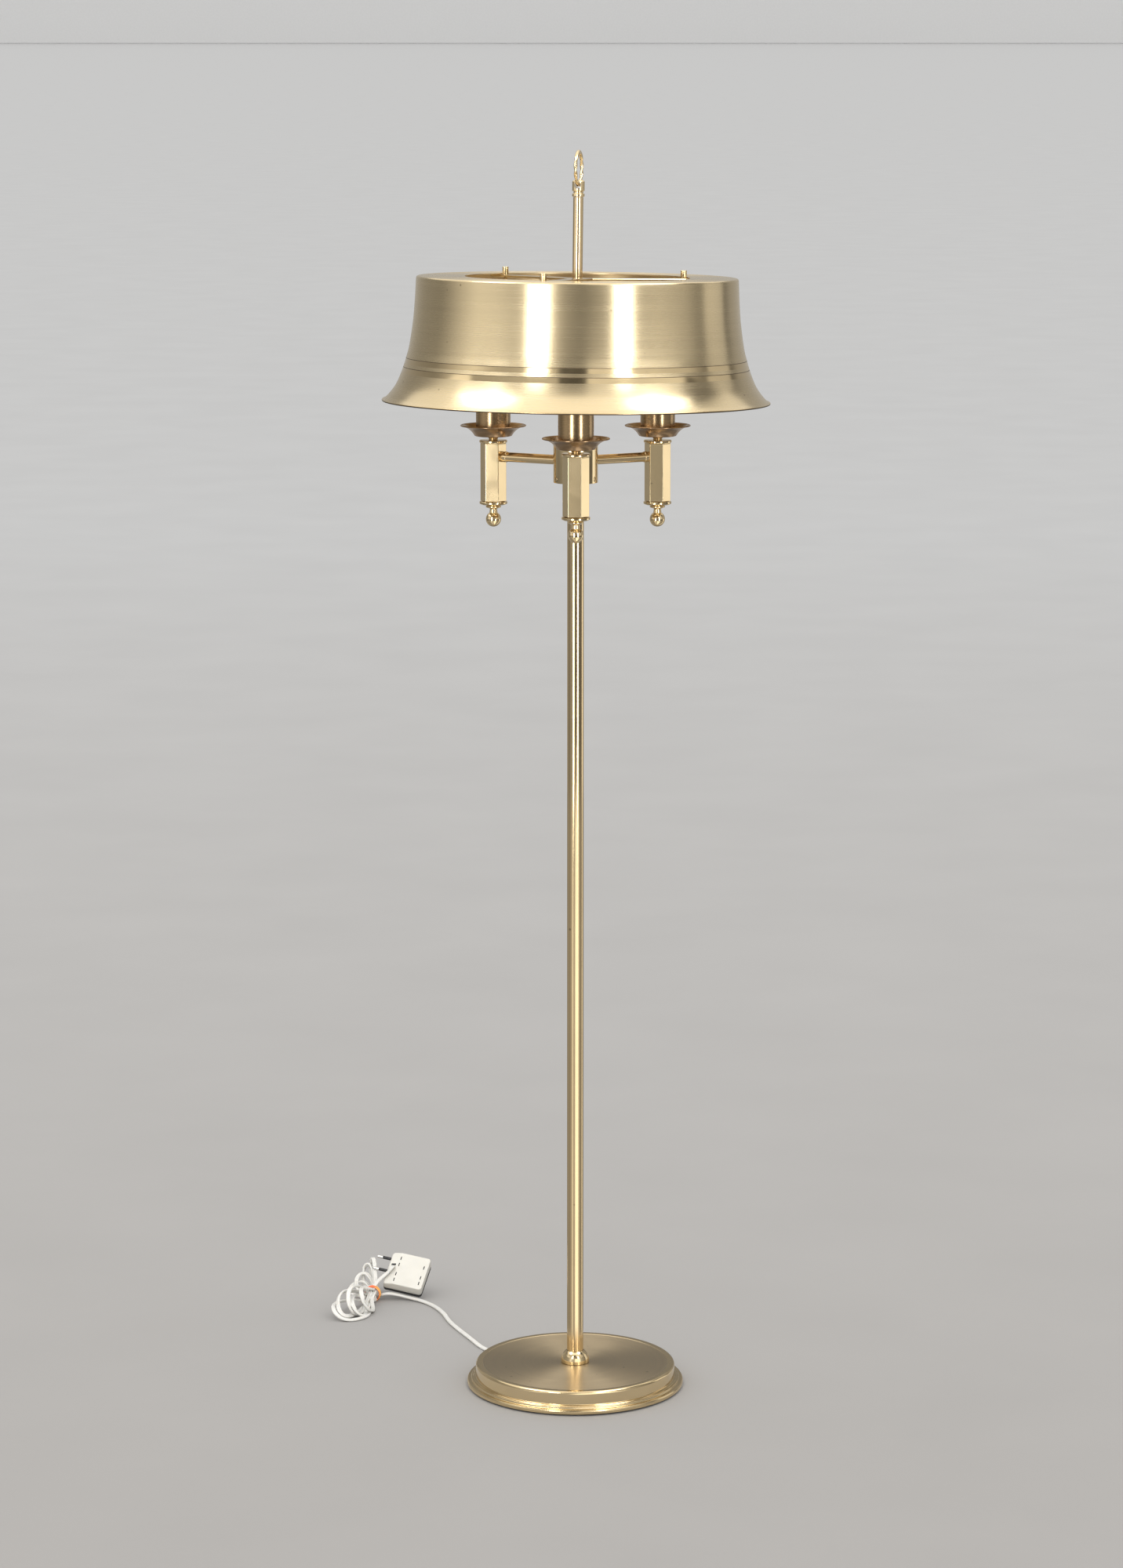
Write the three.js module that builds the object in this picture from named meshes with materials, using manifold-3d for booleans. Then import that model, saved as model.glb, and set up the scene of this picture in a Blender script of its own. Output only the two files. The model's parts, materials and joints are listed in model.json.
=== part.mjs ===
// Brass floor lamp: three candle arms under one spun shade, on a slim post with a weighted round base.
// Millimetres, +Z up. The origin is the middle of the base where it stands on the floor.
// The front of the lamp, with one candle arm pointing forward, faces -Y.

import * as THREE from 'three';
import * as BufferGeometryUtils from 'three/addons/utils/BufferGeometryUtils.js';
import Module from 'manifold-3d';

const wasm = await Module();
wasm.setup();

// Driving dimensions
const gap = 0.3;                // air between neighbouring pieces
const sheet = 1.2;              // thickness of the spun and drawn brass
const base = {
  height: 27, topRadius: 122, brushedRadius: 112.5, edge: 3.2, bore: 5.4,
  shoulderRadius: 127.5, flangeRadius: 132.5, feltRadius: 129, feltHeight: 2,
};
const post = { radius: 10, wall: 1.5, top: 1118.5 };
const foot = { radius: 17.25, height: 15 };
const hub = {
  radius: 26.5, bottom: 1110, top: 1156, plateBottom: 1111.5, plateTop: 1119,
  screwHeight: 1115, screwStart: 18,
};
const arm = { count: 3, circle: 113.5, height: 1135.5, radius: 5.75, wall: 1.3, frontAzimuth: 270 };
const cup = { cornerRadius: 15.75, bore: 10.5, bottom: 1081.5, top: 1152, flangeRadius: 16.8, twist: -7 };
const ball = { radius: 9.2, centre: 1060 };
const tray = { bottom: 1159.6, rim: 1172, rimRadius: 39.5, floorRadius: 21.5 };
const sleeve = { radius: 20.75, height: 86 };
const holder = { radius: 18.8, capBore: 14, stemRadius: 4.9 };
const bulb = { radius: 22.5, capRadius: 13.2, centre: 1272 };
const rod = { radius: 6, top: 1445.2, entry: 12, leanBack: 1.1, leanRight: 0.6 };
const finial = { radius: 7.35, bottom: 1445.5, top: 1465, ringHole: 4.1, ringHoleHeight: 1459 };
const ring = { wireRadius: 2.3, turn: 11 };
const shade = { top: 1352, openingRadius: 132.5, topRadius: 190, rim: 1205, rimRadius: 229.5 };
const spider = { thickness: 2.5, barWidth: 14, reach: 150, hubRadius: 16 };
const stud = { circle: 128.5, radius: 3.7, height: 8, firstAzimuth: 12 };
const collar = { radius: 11, flangeRadius: 14, height: 16 };
const thumb = { azimuth: 330, shankRadius: 2, headRadius: 7, headLength: 8, reach: 22 };
const cord = { width: 5.6, thickness: 3.3, exitAzimuth: 133, exitHeight: 16.5 };
const hank = {
  front: { from: [-268, 308], to: [-287, 262], radius: 25, height: 26 },
  back: { from: [-262, 357], to: [-277, 388], radius: 10, height: 30 },
  neckRadius: 8, neckHeight: 9.8, tie: 0.72, tieWidth: 4, tieThickness: 1.1,
};
const plug = {
  place: [-219.4, 361.9, 35.9], tiltBack: 50, rollRight: 15,
  width: 52, height: 50, thickness: 13, backing: 5, corner: 5,
  pinRadius: 2, pinLength: 19, pinSpacing: 19, pinHeight: 6,
};

// Materials
const metal = (color, roughness) => new THREE.MeshStandardMaterial({ color, roughness, metalness: 1 });
const plain = (color, roughness) => new THREE.MeshStandardMaterial({ color, roughness, metalness: 0 });
const brushedBrass = metal(0xc9ad74, 0.35);
const polishedBrass = metal(0xd8b873, 0.12);
const satinCopper = metal(0xa9805a, 0.3);
const steel = metal(0x9a9a98, 0.4);
const castIron = plain(0x3a3a3a, 0.8);
const felt = plain(0x22201e, 0.95);
const whitePlastic = plain(0xe9e6df, 0.45);
const blackPlastic = plain(0x1c1c1c, 0.5);
const whiteCord = plain(0xeceae6, 0.5);
const porcelain = plain(0xf2efe8, 0.25);
const opalGlass = plain(0xf5f3ec, 0.2);
const rubber = plain(0xd8622a, 0.6);

const root = new THREE.Group();

function add(name, geometry, material, parent = root) {
  const mesh = new THREE.Mesh(geometry, material);
  mesh.name = name;
  parent.add(mesh);
  return mesh;
}

const radians = THREE.MathUtils.degToRad;
const around = (radius, azimuth) => [radius * Math.cos(radians(azimuth)), radius * Math.sin(radians(azimuth))];
const armAzimuths = Array.from({ length: arm.count }, (_, i) => arm.frontAzimuth + i * 360 / arm.count);

// Points [r, z] of an arc about (r0, z0), from one angle to another in degrees
function arc(r0, z0, radius, from, to, steps = 4) {
  return Array.from({ length: steps + 1 }, (_, i) => {
    const a = radians(from + (to - from) * i / steps);
    return [r0 + radius * Math.cos(a), z0 + radius * Math.sin(a)];
  });
}

// A body turned about +Z from its section, points [r, z]. A section off the axis closes on itself.
function turned(section, segments = 12) {
  const points = section.map(([r, z]) => new THREE.Vector2(Math.max(r, 0), z));
  const onAxis = points[0].x === 0 && points[points.length - 1].x === 0;
  if (!onAxis) points.push(points[0].clone());
  const area = points.reduce((sum, p, i) => sum + p.cross(points[(i + 1) % points.length]), 0);
  if (area < 0) points.reverse();
  return new THREE.LatheGeometry(points, segments).rotateX(Math.PI / 2);
}

// A closed section for spun sheet: the outer line and, one thickness inside it, the same line back
function spun(outer, thickness = sheet) {
  const inner = outer.map(([r, z], i) => {
    const [r1, z1] = outer[Math.max(i - 1, 0)];
    const [r2, z2] = outer[Math.min(i + 1, outer.length - 1)];
    const length = Math.hypot(r2 - r1, z2 - z1);
    return [r + thickness * (z2 - z1) / length, z - thickness * (r2 - r1) / length];
  });
  return [...outer, ...inner.reverse()];
}

// A tube section between two heights
const tube = (outer, inner, bottom, top) => [[inner, bottom], [outer, bottom], [outer, top], [inner, top]];

// A flat shape raised from a height
function prism(shape, bottom, depth, curveSegments = 6) {
  return new THREE.ExtrudeGeometry(shape, { depth, bevelEnabled: false, curveSegments }).translate(0, 0, bottom);
}

// A rod or tube section laid along +X instead of +Z
const alongX = (geometry) => geometry.rotateY(Math.PI / 2);

function hexagon(cornerRadius, turn) {
  const corners = Array.from({ length: 6 }, (_, i) => around(cornerRadius, 30 + turn + 60 * i));
  return new THREE.Shape(corners.map((corner) => new THREE.Vector2(...corner)));
}

function cylinder(radius, length, segments = 16) {
  return new THREE.CylinderGeometry(radius, radius, length, segments).rotateX(Math.PI / 2);
}

// A radial cutter or pin: a cylinder from one radius to another, at an azimuth and a height
function radial(radius, from, to, azimuth, height, segments = 16) {
  return alongX(cylinder(radius, to - from, segments))
    .translate((from + to) / 2, 0, 0).rotateZ(radians(azimuth)).translate(0, 0, height);
}

function toSolid(geometry) {
  const bare = geometry.clone();
  bare.deleteAttribute('normal');
  bare.deleteAttribute('uv');
  const merged = BufferGeometryUtils.mergeVertices(bare, 1e-4);
  const index = Array.from(merged.index.array);
  const whole = [];
  for (let i = 0; i < index.length; i += 3) {
    const [a, b, c] = index.slice(i, i + 3);
    if (a !== b && b !== c && c !== a) whole.push(a, b, c);
  }
  return new wasm.Manifold(new wasm.Mesh({
    numProp: 3,
    vertProperties: new Float32Array(merged.attributes.position.array),
    triVerts: new Uint32Array(whole),
  }));
}

function toGeometry(solid) {
  const mesh = solid.getMesh();
  const geometry = new THREE.BufferGeometry();
  geometry.setAttribute('position', new THREE.BufferAttribute(new Float32Array(mesh.vertProperties), 3));
  geometry.setIndex(new THREE.BufferAttribute(new Uint32Array(mesh.triVerts), 1));
  geometry.computeVertexNormals();
  return geometry;
}

function cut(body, ...tools) {
  return toGeometry(tools.reduce((solid, tool) => solid.subtract(toSolid(tool)), toSolid(body)));
}

function join(...bodies) {
  return toGeometry(bodies.map(toSolid).reduce((sum, solid) => sum.add(solid)));
}

// Base: felt, spun cover over a cast weight, and the nipple that clamps them to the post
function makeBase() {
  const { height, topRadius, brushedRadius, edge, bore } = base;
  const { shoulderRadius, flangeRadius, feltRadius, feltHeight } = base;
  const segments = 36;
  add('base_felt', turned([[0, 0], [feltRadius, 0], [feltRadius, feltHeight], [0, feltHeight]], segments), felt);

  const outer = [
    [bore, height - 0.5], [brushedRadius, height - 0.5], [brushedRadius + 1.5, height],
    ...arc(topRadius - edge, height - edge, edge, 90, 0, 2),
    [topRadius, 11], [topRadius + 2.5, 10.4],
    ...arc(shoulderRadius - 2, 8.2, 2, 60, 0, 1),
    [flangeRadius - 1.5, 7], [flangeRadius, 5.8], [flangeRadius, feltHeight + gap],
  ];
  add('base_cover', cut(turned(spun(outer), segments),
    radial(3.9, topRadius - 8, topRadius + 8, cord.exitAzimuth, cord.exitHeight, 12)), brushedBrass);

  const weight = { radius: 117, bottom: 3, top: height - 0.5 - sheet - gap, pocket: 18, web: 7 };
  const slot = new THREE.BoxGeometry(weight.radius + 10, 9, 15)
    .translate((weight.radius + 10) / 2, 0, weight.bottom + 7.4).rotateZ(radians(cord.exitAzimuth));
  add('base_weight', cut(turned([
    [bore, weight.top - weight.web], [weight.pocket, weight.top - weight.web], [weight.pocket, weight.bottom],
    [weight.radius, weight.bottom], [weight.radius, weight.top - 3], [weight.radius - 3, weight.top],
    [bore, weight.top],
  ], 20), slot), castIron);

  const washerTop = weight.top - weight.web - gap;
  add('base_washer', turned(tube(14, bore, washerTop - 1.5, washerTop), 20), steel);
  const nut = hexagon(9, 0);
  nut.holes.push(new THREE.Path().absarc(0, 0, bore, 0, 2 * Math.PI));
  add('base_nut', new THREE.ExtrudeGeometry(nut, { depth: 5, bevelEnabled: false, curveSegments: 6 })
    .translate(0, 0, washerTop - 6.8), steel);
  add('base_nipple', turned(tube(5, 3.4, washerTop - 7.2, 45)), steel);

  const grip = topRadius + 0.7;
  add('cord_bush', alongX(turned([
    [2.9, -5], [3.4, -5], [3.4, 0], [4.6, 0.3], [4.2, 2], [3.4, 4.5], [2.9, 4.5],
  ])).translate(grip, 0, 0).rotateZ(radians(cord.exitAzimuth)).translate(0, 0, cord.exitHeight), blackPlastic);
}

// Post, its domed foot and the lead inside them
function makePost() {
  const foundation = base.height - 0.5 + gap;
  add('post', turned(tube(post.radius, post.radius - post.wall, foundation, post.top), 16), polishedBrass);
  add('foot_collar', turned([
    [post.radius + gap, foundation], [foot.radius, foundation], [foot.radius, foundation + 2],
    ...arc(0, foundation + 2, foot.radius, 12, 52, 4).map(([r, z]) => [r, z - 0.5]),
    [post.radius + gap, foundation + foot.height],
  ], 16), polishedBrass);

  const leadRadius = 2.2;
  const run = 4.7;
  const [x, y] = around(1, cord.exitAzimuth);
  const at = (r, z) => new THREE.Vector3(r * x, r * y, z);
  const path = new THREE.CatmullRomCurve3([
    at(114, cord.exitHeight - 1), at(104, 12), at(80, run + 1), at(45, run), at(12, run), at(6, run + 0.3),
    at(1.6, run + 2.6), at(0, run + 6), at(0, 20), at(0, 44),
  ]);
  const section = new THREE.Shape(new THREE.Path().absarc(0, 0, leadRadius, 0, 2 * Math.PI).getPoints(3));
  add('base_lead', new THREE.ExtrudeGeometry(section, { steps: 28, extrudePath: path }), whiteCord);
  add('post_lead', turned([[0, 44.5], [leadRadius, 44.5], [leadRadius, 1121], [0, 1121]], 8), whiteCord);
}

// Hub: a drawn cup over a plate on the post, held by three screws, with the joint block inside
function makeHub() {
  const { radius, bottom, top, plateBottom, plateTop, screwHeight, screwStart } = hub;
  const inner = radius - sheet;
  const screwAzimuths = armAzimuths.map((azimuth) => azimuth + 180);
  const shell = turned([
    [inner, bottom], [radius, bottom], [radius, top - 1], [radius - 1, top], [7, top], [7, top - 2],
    [inner, top - 2],
  ], 20);
  add('hub_shell', cut(shell,
    ...armAzimuths.map((azimuth) => radial(arm.radius + gap, inner - 4, radius + 4, azimuth, arm.height)),
    ...screwAzimuths.map((azimuth) => radial(2.9, inner - 4, radius + 4, azimuth, screwHeight, 12)),
  ), polishedBrass);
  add('hub_plate', cut(turned(tube(inner - gap, post.radius + gap, plateBottom, plateTop), 20),
    ...screwAzimuths.map((azimuth) => radial(2, 16, radius, azimuth, screwHeight, 10))), steel);
  screwAzimuths.forEach((azimuth, i) => {
    const screw = turned([
      [0, 0], [1.6, 0], [1.6, inner - gap - screwStart], [2.5, inner - gap - screwStart + 0.4],
      [2.5, radius - screwStart + 0.2], [1.9, radius - screwStart + 0.9], [0, radius - screwStart + 1.1],
    ], 12);
    add(`hub_screw_${i + 1}`, alongX(screw).translate(screwStart, 0, 0).rotateZ(radians(azimuth))
      .translate(0, 0, screwHeight), steel);
  });
  add('terminal_block', new THREE.BoxGeometry(24, 12, 6.5).translate(0, 0, 1125), porcelain);
  add('rod_socket', turned([
    [7, top + gap], [12, top + gap], [12, top + 4], [9.5, top + 7], [9.5, top + 13], [8.5, top + 14],
    [7, top + 14],
  ]), polishedBrass);
}

// One candle arm, built pointing along +X and turned to its azimuth
function makeArm(azimuth, number) {
  const group = new THREE.Group();
  group.rotation.z = radians(azimuth);
  root.add(group);
  const candle = new THREE.Group();
  candle.position.x = arm.circle;
  group.add(candle);
  const name = (piece) => `${piece}_${number}`;

  const faceRadius = cup.cornerRadius * Math.cos(Math.PI / 6);
  const start = hub.radius - 5;
  const end = arm.circle - faceRadius + 3;
  const ferrule = { radius: arm.radius + 0.7, from: end - 9, to: end - 4.4 };
  add(name('arm'), alongX(turned([
    [arm.radius - arm.wall, start], [arm.radius, start],
    [arm.radius, ferrule.from], [ferrule.radius, ferrule.from + 0.6], [ferrule.radius, ferrule.to],
    [arm.radius, ferrule.to + 0.1], [arm.radius, end], [arm.radius - arm.wall, end],
  ], 12)).translate(0, 0, arm.height), polishedBrass, group);

  const section = hexagon(cup.cornerRadius, cup.twist);
  section.holes.push(new THREE.Path().absarc(0, 0, cup.bore, 0, 2 * Math.PI));
  const body = prism(section, cup.bottom + gap, cup.top - cup.bottom - 2 * gap);
  const armHole = radial(arm.radius + gap, cup.bore - 3, cup.cornerRadius + 2, 180, arm.height);
  add(name('cup'), cut(body, armHole), polishedBrass, candle);

  const neckTop = tray.bottom - gap;
  add(name('cup_flange'), turned([
    [3.4, cup.top], [cup.flangeRadius - 0.6, cup.top], [cup.flangeRadius, cup.top + 0.9],
    [cup.flangeRadius, cup.top + 2.4], [cup.flangeRadius - 0.8, cup.top + 3.2], [5.4, cup.top + 3.4],
    [5.2, cup.top + 4.6], [8.2, neckTop], [3.4, neckTop],
  ]), polishedBrass, candle);

  const { radius, centre } = ball;
  add(name('ball_finial'), turned([
    [0, cup.bottom], [cup.flangeRadius - 0.6, cup.bottom], [cup.flangeRadius, cup.bottom - 0.8],
    [cup.flangeRadius, cup.bottom - 2.6], [cup.flangeRadius - 1.6, cup.bottom - 3.8], [6, cup.bottom - 4.2],
    [8.8, cup.bottom - 5.6], [9.2, cup.bottom - 6.8], [8.2, cup.bottom - 8], [4.6, cup.bottom - 9.6],
    ...arc(0, centre, radius, 60, -90, 5),
  ], 14), polishedBrass, candle);

  const flare = new THREE.QuadraticBezierCurve(
    new THREE.Vector2(tray.floorRadius + 1, tray.bottom + 0.6), new THREE.Vector2(27.5, tray.rim - 3.4),
    new THREE.Vector2(tray.rimRadius, tray.rim));
  const rise = flare.getPoints(3).map((p) => [p.x, p.y]);
  const dish = [[5.3, tray.bottom], [tray.floorRadius - 1, tray.bottom], ...rise];
  add(name('tray'), turned(spun(dish, -sheet), 20), satinCopper, candle);

  const floor = tray.bottom + sheet + gap;
  const candleTube = tube(sleeve.radius, sleeve.radius - sheet, floor, floor + sleeve.height);
  add(name('candle_sleeve'), turned(candleTube, 16), satinCopper, candle);

  const seat = floor + sleeve.height - 3;
  add(name('lampholder'), turned([
    [3.2, tray.bottom + gap], [holder.stemRadius, tray.bottom + gap], [holder.stemRadius, seat - 58],
    [holder.radius - 3, seat - 54], [holder.radius, seat - 50], [holder.radius, seat],
    [holder.capBore, seat], [holder.capBore, seat - 30], [3.2, seat - 30],
  ]), porcelain, candle);

  add(name('bulb'), turned([
    [0, seat - 28], [6, seat - 27], [bulb.capRadius, seat - 22], [bulb.capRadius, seat - 1],
    [bulb.capRadius + 1.5, seat + 1.5],
    ...arc(0, bulb.centre, bulb.radius, -48, 90, 6).map(([r, z], i, all) => [i === all.length - 1 ? 0 : r, z]),
  ]), opalGlass, candle);
}

// Everything on the rod stands in the socket with a little slack, so it leans as one
const upper = new THREE.Group();
upper.position.z = hub.top;
upper.rotation.set(radians(-rod.leanBack), radians(rod.leanRight), 0);
root.add(upper);
const onRod = (geometry) => geometry.translate(0, 0, -hub.top);

// Rod, its drilled finial and the ring that hangs in it
function makeRod() {
  add('rod', onRod(turned([
    [0, hub.top - rod.entry], [rod.radius, hub.top - rod.entry], [rod.radius, rod.top], [0, rod.top],
  ])), polishedBrass, upper);

  const { radius, bottom, top, ringHole, ringHoleHeight } = finial;
  const turning = radians(90 - ring.turn);
  const block = turned([
    [0, bottom], [radius - 0.6, bottom], [radius, bottom + 0.8], [radius, bottom + 3.4], [radius - 1.4, bottom + 4.2],
    [radius - 1.4, bottom + 6], [radius, bottom + 7], [radius, top - 2], [radius - 1.6, top - 0.4], [0, top],
  ], 20);
  const hole = alongX(cylinder(ringHole, 4 * radius, 12)).rotateZ(turning).translate(0, 0, ringHoleHeight);
  add('rod_finial', onRod(cut(block, hole)), polishedBrass, upper);

  const ringRadius = (1500 - ring.wireRadius - ringHoleHeight) / 2;
  const loop = new THREE.TorusGeometry(ringRadius, ring.wireRadius, 6, 24)
    .rotateX(Math.PI / 2).rotateZ(turning).translate(0, 0, ringHoleHeight + ringRadius);
  add('ring_handle', onRod(loop), polishedBrass, upper);
}

// Shade on its three-armed spider, which turns on a collar that a thumb screw clamps to the rod
function makeShade() {
  const { top, openingRadius, topRadius, rim, rimRadius } = shade;
  const wall = new THREE.SplineCurve([
    [topRadius, top - 3], [193, 1300], [198, 1267], [204.7, 1244], [213.2, 1224], [223.2, 1211],
    [rimRadius - 1.2, rim + 1.4],
  ].map((p) => new THREE.Vector2(...p)));
  const outer = [
    [openingRadius, top], [topRadius - 3, top],
    [topRadius - 0.9, top - 0.9], ...wall.getPoints(7).map((p) => [p.x, p.y]),
    [rimRadius, rim + 0.6], [rimRadius - 0.4, rim],
  ];
  add('shade', onRod(turned(spun(outer), 36)), brushedBrass, upper);

  const spiderTop = top - sheet - gap;
  const outline = [];
  const half = spider.barWidth / 2;
  for (let i = 0; i < 3; i++) {
    const azimuth = radians(stud.firstAzimuth + i * 120);
    const corner = (along, across) => new THREE.Vector2(along, across).rotateAround(new THREE.Vector2(), azimuth);
    const start = Math.sqrt(spider.hubRadius ** 2 - half ** 2);
    outline.push(corner(start, -half), corner(spider.reach - 3, -half), corner(spider.reach, -half + 3),
      corner(spider.reach, half - 3), corner(spider.reach - 3, half), corner(start, half));
    outline.push(new THREE.Vector2(spider.hubRadius, 0).rotateAround(new THREE.Vector2(), azimuth + radians(60)));
  }
  const plate = new THREE.Shape(outline);
  plate.holes.push(new THREE.Path().absarc(0, 0, rod.radius + gap, 0, 2 * Math.PI));
  for (let i = 0; i < 3; i++) {
    const [x, y] = around(stud.circle, stud.firstAzimuth + i * 120);
    plate.holes.push(new THREE.Path().absarc(x, y, 2.3, 0, 2 * Math.PI));
  }
  add('shade_spider', onRod(prism(plate, spiderTop - spider.thickness, spider.thickness)), polishedBrass, upper);

  for (let i = 0; i < 3; i++) {
    const [x, y] = around(stud.circle, stud.firstAzimuth + i * 120);
    const head = top + stud.height;
    add(`shade_stud_${i + 1}`, onRod(turned([
      [0, spiderTop - 6], [2, spiderTop - 6], [2, spiderTop + gap], [stud.radius, spiderTop + gap],
      [stud.radius, head - 0.7], [stud.radius - 0.7, head], [0, head],
    ], 12).translate(x, y, 0)), polishedBrass, upper);
  }

  const collarTop = spiderTop - spider.thickness - gap;
  const collarBottom = collarTop - collar.height;
  const screwHeight = collarBottom + 6;
  const body = turned([
    [rod.radius + gap, collarBottom], [collar.radius - 1, collarBottom], [collar.radius, collarBottom + 1],
    [collar.radius, collarTop - 3], [collar.flangeRadius, collarTop - 2.4], [collar.flangeRadius, collarTop],
    [rod.radius + gap, collarTop],
  ], 20);
  const tapRadius = thumb.shankRadius + gap;
  const tapping = radial(tapRadius, rod.radius - 1, collar.radius + 3, thumb.azimuth, screwHeight, 12);
  add('slide_collar', onRod(cut(body, tapping)), polishedBrass, upper);

  const tip = rod.radius + 0.6;
  const knob = thumb.reach - tip;
  add('thumb_screw', onRod(alongX(turned([
    [0, 0], [thumb.shankRadius, 0], [thumb.shankRadius, knob], [thumb.headRadius - 0.8, knob],
    [thumb.headRadius, knob + 0.8], [thumb.headRadius, knob + thumb.headLength - 0.8],
    [thumb.headRadius - 0.8, knob + thumb.headLength],
    [0, knob + thumb.headLength],
  ])).translate(tip, 0, 0).rotateZ(radians(thumb.azimuth)).translate(0, 0, screwHeight)), polishedBrass, upper);
}

// Supply cord: the run on the floor and the tied hank at its end
function makeCord() {
  const lying = cord.thickness / 2 + gap;
  const route = [
    [-87.2, 93.5, 16.5], [-93.5, 100.4, 14.6], [-100, 108.8, 8.4], [-106, 117.8, 3.4], [-112.5, 128.5, lying],
    [-119.6, 141.3, lying], [-131.6, 171.3, lying], [-147.4, 209.9, lying], [-159.9, 243.7, lying],
    [-171.1, 286.2, lying], [-183.7, 314.5, lying], [-199.6, 334.7, 2.4], [-216.9, 345.3, 4], [-232, 347.5, 7],
    [-244.5, 345.5, 9.5],
  ].map((p) => new THREE.Vector3(...p));
  const section = new THREE.Shape(Array.from({ length: 8 }, (_, i) => {
    const a = radians(22.5 + 45 * i);
    return new THREE.Vector2(cord.thickness / 2 * Math.cos(a), cord.width / 2 * Math.sin(a));
  }));
  const extrudePath = new THREE.CatmullRomCurve3(route);
  add('cord_run', new THREE.ExtrudeGeometry(section, { steps: 36, extrudePath }), whiteCord);

  // A lobe of the hank: seen from above, a slot shape between two points
  const lobe = ({ from, to, radius, height }) => {
    const [a, b] = [new THREE.Vector2(...from), new THREE.Vector2(...to)];
    const angle = b.clone().sub(a).angle();
    const outline = new THREE.Shape()
      .absarc(b.x, b.y, radius, angle - Math.PI / 2, angle + Math.PI / 2)
      .absarc(a.x, a.y, radius, angle + Math.PI / 2, angle + 1.5 * Math.PI);
    return prism(outline, gap, height, 8);
  };
  const neckFrom = new THREE.Vector3(...hank.front.from, hank.neckHeight);
  const neckTo = new THREE.Vector3(...hank.back.from, hank.neckHeight);
  const neckLine = neckTo.clone().sub(neckFrom);
  const alongNeck = (geometry, t) => {
    const { x, y, z } = neckFrom.clone().lerp(neckTo, t);
    return alongX(geometry).rotateZ(Math.atan2(neckLine.y, neckLine.x)).translate(x, y, z);
  };
  const neck = alongNeck(cylinder(hank.neckRadius, neckLine.length()), 0.5);
  add('cord_hank', join(lobe(hank.front), neck, lobe(hank.back)), whiteCord);

  const bandRadius = hank.neckRadius + gap;
  const band = tube(bandRadius + hank.tieThickness, bandRadius, -hank.tieWidth / 2, hank.tieWidth / 2);
  add('rubber_band', alongNeck(turned(band, 16), hank.tie), rubber);
}

// Plug box: a moulded cover on a black base, tilted back on the hank, with two pins at its side
function makePlug() {
  const box = new THREE.Group();
  box.rotation.set(radians(-plug.tiltBack), radians(plug.rollRight), 0, 'ZXY');
  box.position.set(...plug.place);
  root.add(box);
  const slab = (depth, y) => {
    const [x, z, r] = [plug.width / 2 - plug.corner, plug.height / 2 - plug.corner, plug.corner];
    const outline = new THREE.Shape()
      .absarc(x, -z, r, -Math.PI / 2, 0).absarc(x, z, r, 0, Math.PI / 2)
      .absarc(-x, z, r, Math.PI / 2, Math.PI).absarc(-x, -z, r, Math.PI, 1.5 * Math.PI);
    return prism(outline, 0, depth, 3).rotateX(Math.PI / 2).translate(0, y + depth, 0);
  };
  add('plug_cover', slab(plug.thickness, 0), whitePlastic, box);
  add('plug_base', slab(plug.backing, plug.thickness + gap), blackPlastic, box);

  const { pinRadius, pinLength } = plug;
  [-1, 1].forEach((side, i) => {
    const pin = turned([[0, 0], [pinRadius, 0], [pinRadius, pinLength - 1.2], [1.2, pinLength], [0, pinLength]]);
    const height = plug.pinHeight + side * plug.pinSpacing / 2;
    add(`plug_pin_${i + 1}`, alongX(pin).rotateZ(Math.PI)
      .translate(-plug.width / 2 - gap, plug.thickness / 2, height), steel, box);
  });
}

makeBase();
makePost();
makeHub();
armAzimuths.forEach((azimuth, i) => makeArm(azimuth, i + 1));
makeRod();
makeShade();
makeCord();
makePlug();

export default root;
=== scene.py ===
# Brass pharmacy floor lamp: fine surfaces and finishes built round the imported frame.
import json
import math

import bpy
import numpy as np
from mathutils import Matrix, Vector


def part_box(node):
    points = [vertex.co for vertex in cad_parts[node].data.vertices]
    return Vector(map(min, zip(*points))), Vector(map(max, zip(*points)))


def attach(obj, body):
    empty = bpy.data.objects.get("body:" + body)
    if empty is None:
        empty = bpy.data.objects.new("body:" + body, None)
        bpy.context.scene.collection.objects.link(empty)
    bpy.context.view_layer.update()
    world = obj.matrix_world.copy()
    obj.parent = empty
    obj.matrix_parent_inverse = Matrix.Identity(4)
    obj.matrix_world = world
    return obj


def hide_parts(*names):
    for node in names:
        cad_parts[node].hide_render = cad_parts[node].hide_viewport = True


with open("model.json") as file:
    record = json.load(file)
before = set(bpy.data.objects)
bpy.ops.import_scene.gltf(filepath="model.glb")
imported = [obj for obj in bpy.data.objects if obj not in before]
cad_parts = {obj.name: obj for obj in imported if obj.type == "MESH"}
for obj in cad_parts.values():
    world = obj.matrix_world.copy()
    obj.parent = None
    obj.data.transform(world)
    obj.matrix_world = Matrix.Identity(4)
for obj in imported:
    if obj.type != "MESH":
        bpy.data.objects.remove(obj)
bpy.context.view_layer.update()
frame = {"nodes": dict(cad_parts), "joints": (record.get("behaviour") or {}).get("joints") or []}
joints = {joint["name"]: joint for joint in frame["joints"]}
mm = 0.001
up = np.array((0.0, 0.0, 1.0))


cameraPlace = {"x": -0.0167, "distance": 5.05, "height": 1.632, "pitch": 9.94, "lens": 98.1}


# A long lens in front of the lamp, a little above its top and tipped down.
def makeCamera(place):
    data = bpy.data.cameras.new("camera")
    data.lens = place["lens"]
    camera = bpy.data.objects.new("camera", data)
    camera.location = (place["x"], -place["distance"], place["height"])
    camera.rotation_euler = (math.radians(90 - place["pitch"]), 0, 0)
    bpy.context.scene.collection.objects.link(camera)
    bpy.context.scene.camera = camera


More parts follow.
